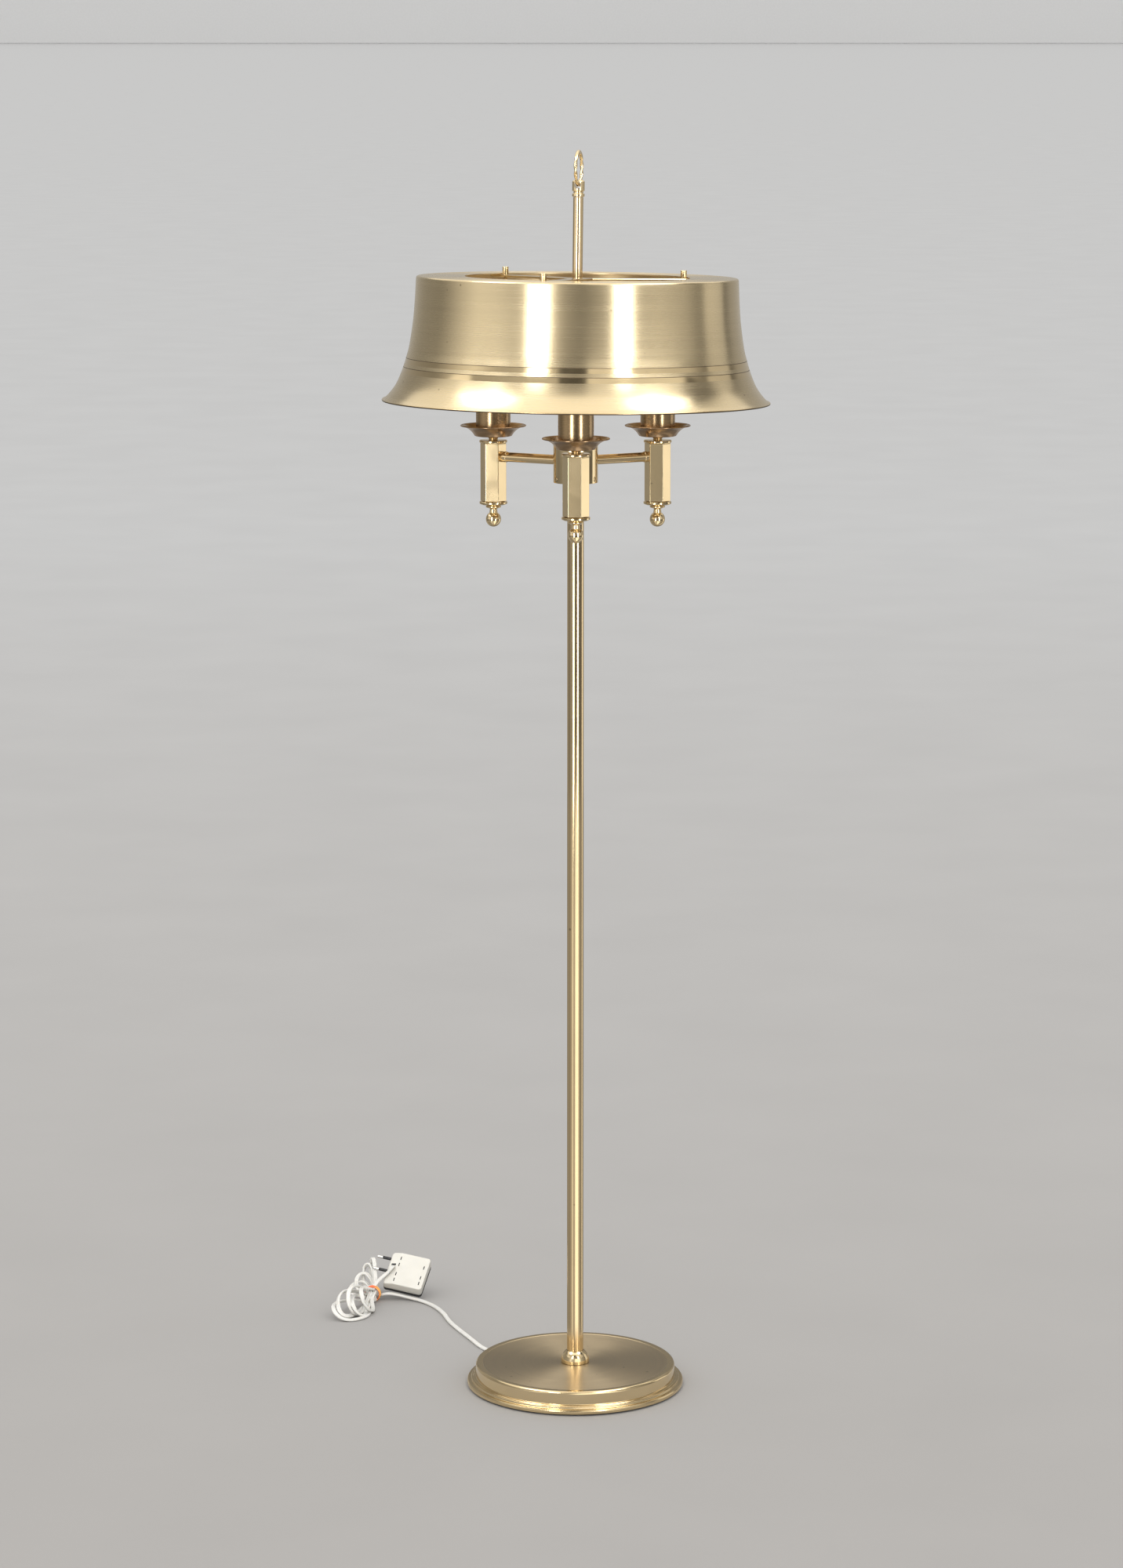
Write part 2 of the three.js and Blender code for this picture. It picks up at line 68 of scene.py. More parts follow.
makeCamera(cameraPlace)


# Each vector over its own length.
def unit(vectors):
    vectors = np.asarray(vectors, float)
    return vectors / np.linalg.norm(vectors, axis=-1, keepdims=True)


# Lowest and highest place along an axis, and least and greatest distance from it, of a CAD node.
def measure(node, origin=(0, 0, 0), axis=up):
    mesh = frame["nodes"][node].data
    places = np.zeros(len(mesh.vertices) * 3, np.float32)
    mesh.vertices.foreach_get("co", places)
    offset = places.reshape(-1, 3) - np.asarray(origin, float)
    along = offset @ axis
    out = np.linalg.norm(offset - along[:, None] * axis, axis=1)
    return along.min(), along.max(), out.min(), out.max()


# The middle of a CAD node's box.
def centreOf(node):
    low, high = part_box(node)
    return np.array((low + high) / 2)


# Rounds a line of corners (r, z, fillet): each corner with a fillet becomes an arc tangent to both sides,
# with one more point just outside each end of it, so that the flats beside it shade flat.
def filleted(corners, steps=5, ease=0.35 * mm):
    points = []
    last = len(corners) - 1
    for i, (r, z, fillet) in enumerate(corners):
        here = np.array((r, z))
        if fillet == 0 or i in (0, last):
            points.append(here)
            continue
        before = np.array(corners[i - 1][:2]) - here
        after = np.array(corners[i + 1][:2]) - here
        a, b = unit(before), unit(after)
        half = math.acos(np.clip(a @ b, -1, 1)) / 2
        reach = min(fillet / math.tan(half), 0.48 * np.linalg.norm(before), 0.48 * np.linalg.norm(after))
        radius = reach * math.tan(half)
        middle = here + unit(a + b) * (radius / math.sin(half))
        start, end = here + a * reach, here + b * reach
        if np.linalg.norm(before) - reach > 3 * ease:
            points.append(start + a * ease)
        turn = math.pi - 2 * half
        for t in np.linspace(0, 1, steps + 1):
            spread = ((start - middle) * math.sin((1 - t) * turn) + (end - middle) * math.sin(t * turn))
            points.append(middle + spread / math.sin(turn))
        if np.linalg.norm(after) - reach > 3 * ease:
            points.append(end + b * ease)
    return np.array(points)


# A closed section for sheet: the line, then the same line offset by the wall on its right.
def thickened(line, wall):
    along = unit(np.gradient(line, axis=0))
    inner = line + wall * np.stack((along[:, 1], -along[:, 0]), axis=1)
    return np.vstack((line, inner[::-1]))


# A mesh from a grid of places, rows by columns. Columns close on themselves, rows do if loop is set, and
# otherwise each end is closed by a fan to a point. u runs once round and v is the length along the rows
# in metres. zone gives each row of faces its material.
def surface(name, grid, materials, body, replaces=(), loop=False, ends=None, zone=None):
    rows, columns = grid.shape[:2]
    bands = rows if loop else rows - 1
    i, j = np.meshgrid(np.arange(bands), np.arange(columns), indexing="ij")
    nextRow, nextColumn = (i + 1) % rows, (j + 1) % columns
    quads = np.stack((i * columns + j, i * columns + nextColumn, nextRow * columns + nextColumn,
                      nextRow * columns + j), axis=-1).reshape(-1, 4)
    step = np.linalg.norm(np.diff(grid.mean(axis=1), axis=0), axis=1)
    radial = np.linalg.norm(np.diff(grid[:, 0], axis=0), axis=1)
    v = np.concatenate(((0,), np.cumsum(np.maximum(step, radial))))
    v = np.append(v, v[-1] + np.linalg.norm(grid[0, 0] - grid[-1, 0]))
    u0, u1 = j / columns, (j + 1) / columns
    v0, v1 = v[i], v[i + 1]
    corners = np.stack((np.stack((u0, v0), -1), np.stack((u1, v0), -1), np.stack((u1, v1), -1),
                        np.stack((u0, v1), -1)), axis=2).reshape(-1, 2)
    places = grid.reshape(-1, 3)
    faces = quads.tolist()
    bandOf = i.reshape(-1).tolist()
    if ends is not None:
        places = np.vstack((places, ends))
        j = np.arange(columns)
        k = (j + 1) % columns
        first = np.stack((np.full(columns, rows * columns), k, j), axis=-1)
        base = (rows - 1) * columns
        final = np.stack((np.full(columns, rows * columns + 1), base + j, base + k), axis=-1)
        faces += first.tolist() + final.tolist()
        bandOf += [0] * columns + [bands - 1] * columns
        for low, order in ((v[0], (1, 0)), (v[bands], (0, 1))):
            a, b = (j + order[0]) / columns, (j + order[1]) / columns
            fan = np.stack((np.stack(((a + b) / 2, np.full(columns, low)), -1),
                            np.stack((a, np.full(columns, low)), -1),
                            np.stack((b, np.full(columns, low)), -1)), axis=1)
            corners = np.vstack((corners, fan.reshape(-1, 2)))
    mesh = bpy.data.meshes.new(name)
    mesh.from_pydata(places.tolist(), [], faces)
    layer = mesh.uv_layers.new(name="wrap")
    layer.data.foreach_set("uv", corners.astype(np.float32).reshape(-1))
    for material in materials:
        mesh.materials.append(material)
    if zone is not None:
        mesh.polygons.foreach_set("material_index", np.array([zone[b] for b in bandOf], np.int32))
    return finishPiece(name, mesh, body, replaces)


# Smooth shading with sharp creases and faces outward. The piece rides its body, and the CAD nodes it replaces
# are hidden.
def finishPiece(name, mesh, body, replaces=()):
    mesh.polygons.foreach_set("use_smooth", np.ones(len(mesh.polygons), bool))
    if signedVolume(mesh) < 0:
        mesh.flip_normals()
    mesh.update()
    mesh.set_sharp_from_angle(angle=math.radians(33))
    piece = bpy.data.objects.new(name, mesh)
    bpy.context.scene.collection.objects.link(piece)
    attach(piece, body)
    if replaces:
        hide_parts(*([replaces] if isinstance(replaces, str) else replaces))
    return piece


# A sixth of the sum of a . (b x c) over the triangles: negative when they face inward.
def signedVolume(mesh):
    mesh.calc_loop_triangles()
    corners = np.zeros(len(mesh.loop_triangles) * 3, np.int32)
    mesh.loop_triangles.foreach_get("vertices", corners)
    places = np.zeros(len(mesh.vertices) * 3, np.float32)
    mesh.vertices.foreach_get("co", places)
    a, b, c = places.reshape(-1, 3)[corners.reshape(-1, 3)].astype(float).transpose(1, 0, 2)
    return (a * np.cross(b, c)).sum() / 6


# Two directions square to an axis; for an upright axis they are close to +X and +Y.
def sideways(axis):
    across = unit(np.cross((0, 1, 0), axis)) if abs(axis[1]) < 0.9 else unit(np.cross(axis, (1, 0, 0)))
    return across, np.cross(axis, across)


# Turns a section of points (r, s) about an axis: place = origin + s axis + r (cos, sin) across it. A
# section that starts and ends on the axis is closed by poles, and any other closes on itself.
def spin(name, section, materials, body, origin=(0, 0, 0), axis=up, segments=96, replaces=(),
         zone=None):
    section = np.asarray(section, float)
    onAxis = section[0, 0] < 1e-6 and section[-1, 0] < 1e-6
    axis, origin = np.asarray(axis, float), np.asarray(origin, float)
    across, over = sideways(axis)
    angle = np.linspace(0, 2 * math.pi, segments, endpoint=False) + math.pi / 2
    out = np.cos(angle)[:, None] * across + np.sin(angle)[:, None] * over
    kept = section[1:-1] if onAxis else section
    grid = origin + kept[:, None, 1:] * axis + kept[:, None, :1] * out[None]
    ends = origin + section[[0, -1], 1][:, None] * axis if onAxis else None
    zones = None
    if zone is not None:
        middle = (kept + np.roll(kept, -1, axis=0)) / 2
        zones = [zone(r, s, k) for k, (r, s) in enumerate(middle)]
    return surface(name, grid, materials, body, replaces, loop=not onAxis, ends=ends, zone=zones)


# A closed outline with every corner turned into an arc, and a point just outside each arc end.
def rounded(corners, radius, steps=5, ease=0.2 * mm):
    corners = np.asarray(corners, float)
    points = []
    for before, here, after in zip(np.roll(corners, 1, axis=0), corners, np.roll(corners, -1, axis=0)):
        a, b = unit(before - here), unit(after - here)
        half = math.acos(np.clip(a @ b, -1, 1)) / 2
        reach = min(radius / math.tan(half), 0.45 * np.linalg.norm(before - here),
                    0.45 * np.linalg.norm(after - here))
        size = reach * math.tan(half)
        middle = here + unit(a + b) * (size / math.sin(half))
        start, end = here + a * reach, here + b * reach
        turn = math.pi - 2 * half
        t = np.linspace(0, 1, steps + 1)[:, None]
        swept = (start - middle) * np.sin((1 - t) * turn) + (end - middle) * np.sin(t * turn)
        arc = middle + swept / math.sin(turn)
        points += [start + a * ease, *arc, end + b * ease]
    return np.array(points)


# Stacks copies of an outline seen from above: each level is (how far it is drawn in, height). place takes
# points (x, y, height) to the lamp's frame. The ends are closed by fans.
def prism(name, outline, levels, place, materials, body, replaces=(), zone=None):
    edge = np.roll(outline, -1, axis=0) - np.roll(outline, 1, axis=0)
    outward = unit(np.stack((edge[:, 1], -edge[:, 0]), axis=1))
    if ((outline - outline.mean(axis=0)) * outward).sum() < 0:
        outward = -outward
    rows = [np.column_stack((outline - inset * outward, np.full(len(outline), height)))
            for inset, height in levels]
    middle = outline.mean(axis=0)
    grid = place(np.array(rows))
    ends = place(np.array([(*middle, levels[0][1]), (*middle, levels[-1][1])]))
    return surface(name, grid, materials, body, replaces, ends=ends, zone=zone)


# A place function that turns points by an azimuth about +Z and then moves them to an origin.
def turnedTo(azimuth, origin=(0, 0, 0)):
    c, s = math.cos(azimuth), math.sin(azimuth)
    matrix = np.array(((c, -s, 0), (s, c, 0), (0, 0, 1)))
    return lambda points: points @ matrix.T + np.asarray(origin, float)


# A smooth curve through points (centripetal Catmull-Rom), cut into equal steps.
def evenly(points, step):
    points = np.asarray(points, float)
    points = np.vstack((2 * points[0] - points[1], points, 2 * points[-1] - points[-2]))
    knots = np.concatenate(((0,), np.cumsum(np.linalg.norm(np.diff(points, axis=0), axis=1) ** 0.5)))
    line = []
    for i in range(1, len(points) - 2):
        t0, t1, t2, t3 = knots[i - 1:i + 3]
        p0, p1, p2, p3 = points[i - 1:i + 3]
        t = np.linspace(t1, t2, 24, endpoint=False)[:, None]
        a1 = ((t1 - t) * p0 + (t - t0) * p1) / (t1 - t0)
        a2 = ((t2 - t) * p1 + (t - t1) * p2) / (t2 - t1)
        a3 = ((t3 - t) * p2 + (t - t2) * p3) / (t3 - t2)
        b1 = ((t2 - t) * a1 + (t - t0) * a2) / (t2 - t0)
        b2 = ((t3 - t) * a2 + (t - t1) * a3) / (t3 - t1)
        line.append(((t2 - t) * b1 + (t - t1) * b2) / (t2 - t1))
    return resampled(np.vstack(line + [points[-2:-1]]), step)


# The same line in equal steps along its length.
def resampled(line, step):
    length = np.concatenate(((0,), np.cumsum(np.linalg.norm(np.diff(line, axis=0), axis=1))))
    at = np.linspace(0, length[-1], max(int(round(length[-1] / step)), 2) + 1)
    return np.stack([np.interp(at, length, line[:, k]) for k in range(3)], axis=1)


# A node group with number inputs at their defaults and number outputs.
def newGroup(name, inputs, outputs):
    group = bpy.data.node_groups.new(name, "ShaderNodeTree")
    for label, value in inputs.items():
        socket = group.interface.new_socket(label, in_out="INPUT", socket_type="NodeSocketFloat")
        socket.default_value = value
    for label in outputs:
        group.interface.new_socket(label, in_out="OUTPUT", socket_type="NodeSocketFloat")
    return group, group.nodes.new("NodeGroupInput"), group.nodes.new("NodeGroupOutput")


# Adds a node. Keys of inputs are socket names with _ for a space, or in0, in1 for numbered sockets, and a
# value is a number or colour, or the output socket to link.
def node(tree, kind, settings=(), **inputs):
    made = tree.nodes.new(kind)
    for attribute, value in dict(settings).items():
        setattr(made, attribute, value)
    for key, value in inputs.items():
        socket = made.inputs[int(key[2:])] if key.startswith("in") else made.inputs[key.replace("_", " ")]
        if isinstance(value, bpy.types.NodeSocket):
            tree.links.new(value, socket)
        else:
            socket.default_value = value
    return made


# One arithmetic node.
def calc(tree, operation, a, b=0.0):
    return node(tree, "ShaderNodeMath", {"operation": operation}, in0=a, in1=b).outputs[0]


# Maps a value evenly from one range to another.
def spread(tree, value, low, high, toLow, toHigh):
    return node(tree, "ShaderNodeMapRange", {}, Value=value, From_Min=low, From_Max=high, To_Min=toLow,
                To_Max=toHigh).outputs["Result"]


# Fine lines that run round a turned piece: noise squeezed along v and stretched round u.
def hairlineGroup():
    group, start, end = newGroup("hairlines", {"Spacing": 0.0006, "Around": 3.0}, ("Lines", "Bands"))
    wrap = node(group, "ShaderNodeUVMap", {"uv_map": "wrap"})
    uv = node(group, "ShaderNodeSeparateXYZ", {}, Vector=wrap.outputs["UV"])
    angle = calc(group, "MULTIPLY", uv.outputs["X"], 2 * math.pi)
    x = calc(group, "MULTIPLY", calc(group, "COSINE", angle), start.outputs["Around"])
    y = calc(group, "MULTIPLY", calc(group, "SINE", angle), start.outputs["Around"])
    z = calc(group, "DIVIDE", uv.outputs["Y"], start.outputs["Spacing"])
    fine = node(group, "ShaderNodeCombineXYZ", {}, X=x, Y=y, Z=z)
    broad = node(group, "ShaderNodeCombineXYZ", {}, X=calc(group, "MULTIPLY", x, 0.4),
                 Y=calc(group, "MULTIPLY", y, 0.4), Z=calc(group, "MULTIPLY", z, 0.12))
    lines = node(group, "ShaderNodeTexNoise", {}, Vector=fine.outputs[0], Scale=1.0, Detail=3.0,
                 Roughness=0.75)
    bands = node(group, "ShaderNodeTexNoise", {}, Vector=broad.outputs[0], Scale=1.0, Detail=2.0)
    group.links.new(spread(group, lines.outputs["Fac"], 0.3, 0.7, 0, 1), end.inputs["Lines"])
    group.links.new(spread(group, bands.outputs["Fac"], 0.3, 0.7, 0, 1), end.inputs["Bands"])
    return group


# Handling marks in the lamp's own space: soft smudges, slow tarnish and small dark specks.
def wearGroup():
    group, start, end = newGroup("wear", {"Scale": 18.0, "Speck Scale": 90.0},
                                 ("Smudge", "Tarnish", "Specks"))
    place = node(group, "ShaderNodeTexCoord").outputs["Object"]
    smudge = node(group, "ShaderNodeTexNoise", {}, Vector=place, Scale=start.outputs["Scale"], Detail=4.0,
                  Roughness=0.6, Distortion=0.6)
    tarnish = node(group, "ShaderNodeTexNoise", {}, Vector=place,
                   Scale=calc(group, "MULTIPLY", start.outputs["Scale"], 0.35), Detail=5.0, Roughness=0.62)
    cell = node(group, "ShaderNodeTexVoronoi", {}, Vector=place, Scale=start.outputs["Speck Scale"])
    chance = node(group, "ShaderNodeTexWhiteNoise", {}, Vector=cell.outputs["Position"])
    size = spread(group, chance.outputs["Value"], 0.9, 1.0, 0.0, 0.16)
    speck = calc(group, "LESS_THAN", cell.outputs["Distance"], size)
    group.links.new(spread(group, smudge.outputs["Fac"], 0.4, 0.72, 0, 1), end.inputs["Smudge"])
    group.links.new(spread(group, tarnish.outputs["Fac"], 0.45, 0.75, 0, 1), end.inputs["Tarnish"])
    group.links.new(speck, end.inputs["Specks"])
    return group


hairlines, wear = hairlineGroup(), wearGroup()


# Blends the first colour with the second by a factor, in a mode of mixing.
def mixed(tree, factor, a, b, blend="MIX"):
    made = tree.nodes.new("ShaderNodeMix")
    made.data_type, made.blend_type = "RGBA", blend
    for socket, value in ((made.inputs[0], factor), (made.inputs[6], a), (made.inputs[7], b)):
        if isinstance(value, bpy.types.NodeSocket):
            tree.links.new(value, socket)
        else:
            socket.default_value = value
    return made.outputs[2]


# An empty material with its tree and its Principled shader.
def newMaterial(name):
    material = bpy.data.materials.new(name)
    material.use_nodes = True
    tree = material.node_tree
    return material, tree, tree.nodes["Principled BSDF"]


# A metal: tarnish and specks dull its colour, smudges change its roughness, and a lathe finish adds
# lines along the turn and highlights stretched across it.
def metal(name, colour, roughness, stretch=0.0, spacing=0.6 * mm, around=3.0, contrast=0.0, lineRoughness=0.0,
          bump=0.0, smudge=0.05, tarnish=0.15, tarnishColour=(0.2, 0.13, 0.07), specks=0.5, scale=18.0):
    material, tree, shader = newMaterial(name)
    marks = node(tree, "ShaderNodeGroup", {"node_tree": wear}, Scale=scale)
    shader.inputs["Metallic"].default_value = 1.0
    dull = calc(tree, "MULTIPLY", marks.outputs["Tarnish"], tarnish)
    dull = calc(tree, "MAXIMUM", dull, calc(tree, "MULTIPLY", marks.outputs["Specks"], specks))
    tint = mixed(tree, dull, (*colour, 1), (*tarnishColour, 1))
    rough = calc(tree, "MULTIPLY_ADD", marks.outputs["Smudge"], smudge)
    rough.node.inputs[2].default_value = roughness
    if contrast or lineRoughness:
        brush = node(tree, "ShaderNodeGroup", {"node_tree": hairlines}, Spacing=spacing, Around=around)
        both = calc(tree, "ADD", calc(tree, "MULTIPLY", brush.outputs["Lines"], 0.6),
                     calc(tree, "MULTIPLY", brush.outputs["Bands"], 0.4))
        shadeOf = spread(tree, both, 0, 1, 1 - contrast, 1.0)
        tint = mixed(tree, 1.0, tint, node(tree, "ShaderNodeCombineColor", {}, Red=shadeOf, Green=shadeOf,
                                           Blue=shadeOf).outputs[0], "MULTIPLY")
        extra = calc(tree, "MULTIPLY", calc(tree, "SUBTRACT", both, 0.5), lineRoughness)
        rough = calc(tree, "ADD", rough, extra)
        if bump:
            relief = node(tree, "ShaderNodeBump", {}, Strength=bump, Distance=0.02 * mm,
                          Height=brush.outputs["Lines"])
            tree.links.new(relief.outputs["Normal"], shader.inputs["Normal"])
    if stretch:
        shader.inputs["Anisotropic"].default_value = stretch
        shader.inputs["Anisotropic Rotation"].default_value = 0.25
        along = node(tree, "ShaderNodeTangent", {"direction_type": "UV_MAP", "uv_map": "wrap"})
        tree.links.new(along.outputs[0], shader.inputs["Tangent"])
    tree.links.new(tint, shader.inputs["Base Color"])
    tree.links.new(rough, shader.inputs["Roughness"])
    return material


# A moulded, cast or woven finish: colour and roughness wander a little and the surface has a fine relief.
def plain(name, colour, roughness, vary=0.08, scale=60.0, bump=0.1, depth=0.1 * mm, sheen=0.0, coat=0.0,
          under=0.0):
    material, tree, shader = newMaterial(name)
    marks = node(tree, "ShaderNodeGroup", {"node_tree": wear}, Scale=scale)
    darker = tuple(channel * (1 - 2.2 * vary) for channel in colour)
    tint = mixed(tree, marks.outputs["Tarnish"], (*colour, 1), (*darker, 1))
    rough = spread(tree, marks.outputs["Smudge"], 0, 1, roughness, min(roughness + vary, 1.0))
    place = node(tree, "ShaderNodeTexCoord").outputs["Object"]
    grain = node(tree, "ShaderNodeTexNoise", {}, Vector=place, Scale=scale * 30, Detail=3.0)
    relief = node(tree, "ShaderNodeBump", {}, Strength=bump, Distance=depth, Height=grain.outputs["Fac"])
    tree.links.new(relief.outputs["Normal"], shader.inputs["Normal"])
    tree.links.new(tint, shader.inputs["Base Color"])
    tree.links.new(rough, shader.inputs["Roughness"])
    for label, value in (("Sheen Weight", sheen), ("Coat Weight", coat), ("Subsurface Weight", under)):
        shader.inputs[label].default_value = value
    if under:
        shader.inputs["Subsurface Radius"].default_value = (1.0, 0.8, 0.6)
        shader.inputs["Subsurface Scale"].default_value = 2 * mm
    return material


brass = (0.80, 0.64, 0.39)
finishes = {
    "shadeBrass": metal("shadeBrass", (0.79, 0.65, 0.415), 0.26, stretch=0.82, spacing=0.45 * mm, around=1.4,
                        contrast=0.10, lineRoughness=0.05, bump=0.03, smudge=0.02, tarnish=0.06, scale=9.0),
    # rougher, more tarnished brass for the inside of the lampshade, its colour darkened as painted shade
    "lampshadeInsideShaded": metal("lampshadeInsideShaded", (0.72, 0.56, 0.33), 0.36, stretch=0.6, spacing=0.8 * mm,
                         contrast=0.15, lineRoughness=0.1, smudge=0.08, tarnish=0.25, scale=9.0),
    "baseBrass": metal("baseBrass", (0.66, 0.535, 0.355), 0.30, stretch=0.84, spacing=0.4 * mm, around=1.6,
                       contrast=0.12, lineRoughness=0.06, bump=0.04, smudge=0.04, tarnish=0.15, scale=14.0),
    "mirrorBrass": metal("mirrorBrass", brass, 0.11, smudge=0.05, tarnish=0.12, scale=30.0),
    "postBrass": metal("postBrass", (0.78, 0.61, 0.37), 0.15, smudge=0.04, tarnish=0.14, scale=16.0),
    "rimBrass": metal("rimBrass", (0.78, 0.62, 0.37), 0.16, contrast=0.05, spacing=1.0 * mm, around=10.0,
                      lineRoughness=0.04, smudge=0.03, tarnish=0.22, specks=0.3, scale=20.0),
    "satinCopper": metal("satinCopper", (0.50, 0.355, 0.20), 0.25, stretch=0.55, spacing=0.7 * mm, around=2.0,
                         contrast=0.12, lineRoughness=0.08, smudge=0.05, tarnish=0.2, scale=26.0),
    # the sleeves' copper made darker for the drip trays: painted shade for trays that sit under the lampshade
    "trayCopperShaded": metal("trayCopperShaded", (0.38, 0.255, 0.15), 0.22, stretch=0.5, spacing=0.7 * mm, around=2.0,
                        contrast=0.12, lineRoughness=0.08, smudge=0.05, tarnish=0.25, scale=26.0),
    "steel": metal("steel", (0.62, 0.62, 0.60), 0.28, contrast=0.15, lineRoughness=0.1, tarnish=0.3,
                   tarnishColour=(0.2, 0.18, 0.16), scale=50.0),
    "pinMetal": metal("pinMetal", (0.80, 0.79, 0.76), 0.16, tarnish=0.2, tarnishColour=(0.3, 0.28, 0.25),
                      scale=60.0),
    # near-black brass that paints shade: round the hub screws, along the tops of the shade's stripes and
    # under its lip
    "darkSeat": metal("darkSeat", (0.10, 0.075, 0.05), 0.45, tarnish=0.6, scale=60.0),
    "castIron": plain("castIron", (0.035, 0.035, 0.038), 0.7, vary=0.2, scale=30.0, bump=0.6, depth=0.5 * mm),
    "felt": plain("felt", (0.018, 0.017, 0.016), 0.95, vary=0.1, scale=90.0, bump=0.8, depth=0.4 * mm,
                  sheen=0.4),
    "whitePlastic": plain("whitePlastic", (0.55, 0.53, 0.475), 0.36, vary=0.05, scale=40.0, bump=0.12,
                          depth=0.06 * mm, under=0.12),
    "blackPlastic": plain("blackPlastic", (0.018, 0.018, 0.019), 0.42, vary=0.12, scale=40.0, bump=0.15),
    "whiteCord": plain("whiteCord", (0.60, 0.585, 0.545), 0.40, vary=0.06, scale=30.0, bump=0.15,
                       depth=0.06 * mm, under=0.15),
    "porcelain": plain("porcelain", (0.86, 0.84, 0.79), 0.18, vary=0.03, scale=30.0, bump=0.05, coat=0.5),
    "opalGlass": plain("opalGlass", (0.93, 0.92, 0.88), 0.16, vary=0.03, scale=40.0, bump=0.03, coat=0.4,
                       under=0.3),
}


# Coloured rubber: each wrap has its own colour, read from the piece's own stripe of v.
def bandRubber(name, colours):
    material, tree, shader = newMaterial(name)
    wrap = node(tree, "ShaderNodeUVMap", {"uv_map": "wrap"})
    uv = node(tree, "ShaderNodeSeparateXYZ", {}, Vector=wrap.outputs["UV"])
    ramp = node(tree, "ShaderNodeValToRGB", {}, Fac=uv.outputs["X"])
    ramp.color_ramp.interpolation = "EASE"
    stops = ramp.color_ramp.elements
    for i, colour in enumerate(colours):
        stop = stops[i] if i < 2 else stops.new(i / len(colours))
        stop.position, stop.color = i / len(colours), (*colour, 1)
    tree.links.new(ramp.outputs["Color"], shader.inputs["Base Color"])
    marks = node(tree, "ShaderNodeGroup", {"node_tree": wear}, Scale=120.0)
    tree.links.new(spread(tree, marks.outputs["Smudge"], 0, 1, 0.45, 0.6), shader.inputs["Roughness"])
    return material


finishes["rubber"] = bandRubber("rubber", ((0.75, 0.10, 0.04), (0.86, 0.30, 0.05), (0.90, 0.55, 0.10),
                                           (0.80, 0.16, 0.05)))
print("finishes ready")


cordPlan = {
    "width": 5.6, "thickness": 3.3, "step": 3.2, "crease": 0.72,
    # the run on the floor, from the bush in the base's side wall to the tie
    "route": ((-87.2, 93.5, 16.5), (-93.5, 100.4, 14.6), (-100, 108.8, 8.4), (-106, 117.8, 3.4),
              (-112.5, 128.5, 1.95), (-119.6, 141.3, 1.95), (-131.6, 171.3, 1.95), (-147.4, 209.9, 1.95),
              (-159.9, 243.7, 1.95), (-171.1, 286.2, 1.95), (-183.7, 314.5, 1.95), (-199.6, 334.7, 2.4),
              (-216.9, 345.3, 4), (-232, 347.5, 7), (-244.5, 345.5, 9.5)),
    "tie": (-263.7, 343.3, 9.8), "neckTo": (-262, 357), "neckFrom": (-268, 308), "neckHalf": 9,
    # loops: reach from the tie, half width, azimuth of the axis, height at the tip, twist at the tip, tilt
    "front": ((88, 24, 249, 2.6, 20, 28), (72, 18, 259, 9.0, 70, 55), (80, 23, 245, 6.0, 60, 62),
              (62, 17, 266, 18.0, 80, 70), (72, 21, 252, 14.0, 65, 72)),
    "back": ((41, 13, 142, 12.0, 60, 30), (40, 12.5, 128, 22.0, 70, 50), (42, 12.5, 113, 33.0, 75, 65),
             (43, 12.5, 100, 41.0, 75, 80)),
    # how the strands stack in the tie, how far they keep apart, and how little they move inside the tie
    "passes": (2, 5), "passSize": (2.9, 3.1), "gap": 4.1, "heldWithin": 10, "heldFreedom": 0.08,
    # the cord's end inside the plug box and the box's mouth, in the box's own axes
    "plugHole": ((-19.5, -2.0, 4.5), (-19.8, -9.0, -2.5)),
}


# one loop out of the tie and back: along its axis as sin(t), across it as sin(2t), tilted about that axis
def loopPoints(tie, reach, half, azimuth, lift, tilt, side, samples=15):
    t = np.linspace(0, math.pi, samples)[1:-1]
    along, across = reach * np.sin(t), side * half * np.sin(2 * t)
    a = math.radians(azimuth)
    flat = across * math.cos(math.radians(tilt))
    x = tie[0] + along * math.cos(a) - flat * math.sin(a)
    y = tie[1] + along * math.sin(a) + flat * math.cos(a)
    z = np.maximum(tie[2] + (lift - tie[2]) * np.sin(t) ** 1.5 - across * math.sin(math.radians(tilt)), 2.0)
    return np.stack((x, y, z), axis=1)


# The whole cord as one line, with its twist: the run, then loops out of the tie to the front and to the
# back in turn, and last the tail up into the plug box.
def cordCourse(plan):
    tie = np.array(plan["tie"])
    neck = np.array(plan["neckTo"]) - np.array(plan["neckFrom"])
    forward = np.array((*unit(neck), 0.0))
    across = np.array((forward[1], -forward[0], 0.0))
    columns, rows = plan["passes"]
    passes = [((c - (columns - 1) / 2) * 2 * plan["passSize"][0] * 0.9,
               (r - (rows - 1) / 2) * plan["passSize"][1])
              for r in range(rows) for c in range(columns)]
    points = [np.array(plan["route"])]
    twists = [np.zeros(len(plan["route"]))]
    loops = [loop for pair in zip(plan["front"], plan["back"] + ((0,) * 6,)) for loop in pair][:-1]
    for i, (reach, half, azimuth, lift, twist, tilt) in enumerate(loops):
        toBack = i % 2
        aside, height = passes[i]
        middle = tie + across * aside + up * height
        heading = forward if toBack else -forward
        points.append(np.array((middle - heading * plan["neckHalf"], middle,
                                middle + heading * plan["neckHalf"])))
        twists.append(np.zeros(3))
        loop = loopPoints(middle + heading * plan["neckHalf"], reach, half, azimuth, lift,
                          tilt, 1 if i % 4 < 2 else -1)
        points.append(loop)
        twists.append(math.radians(twist) * np.sin(np.linspace(0, math.pi, len(loop))))
    return points, twists, tie, forward


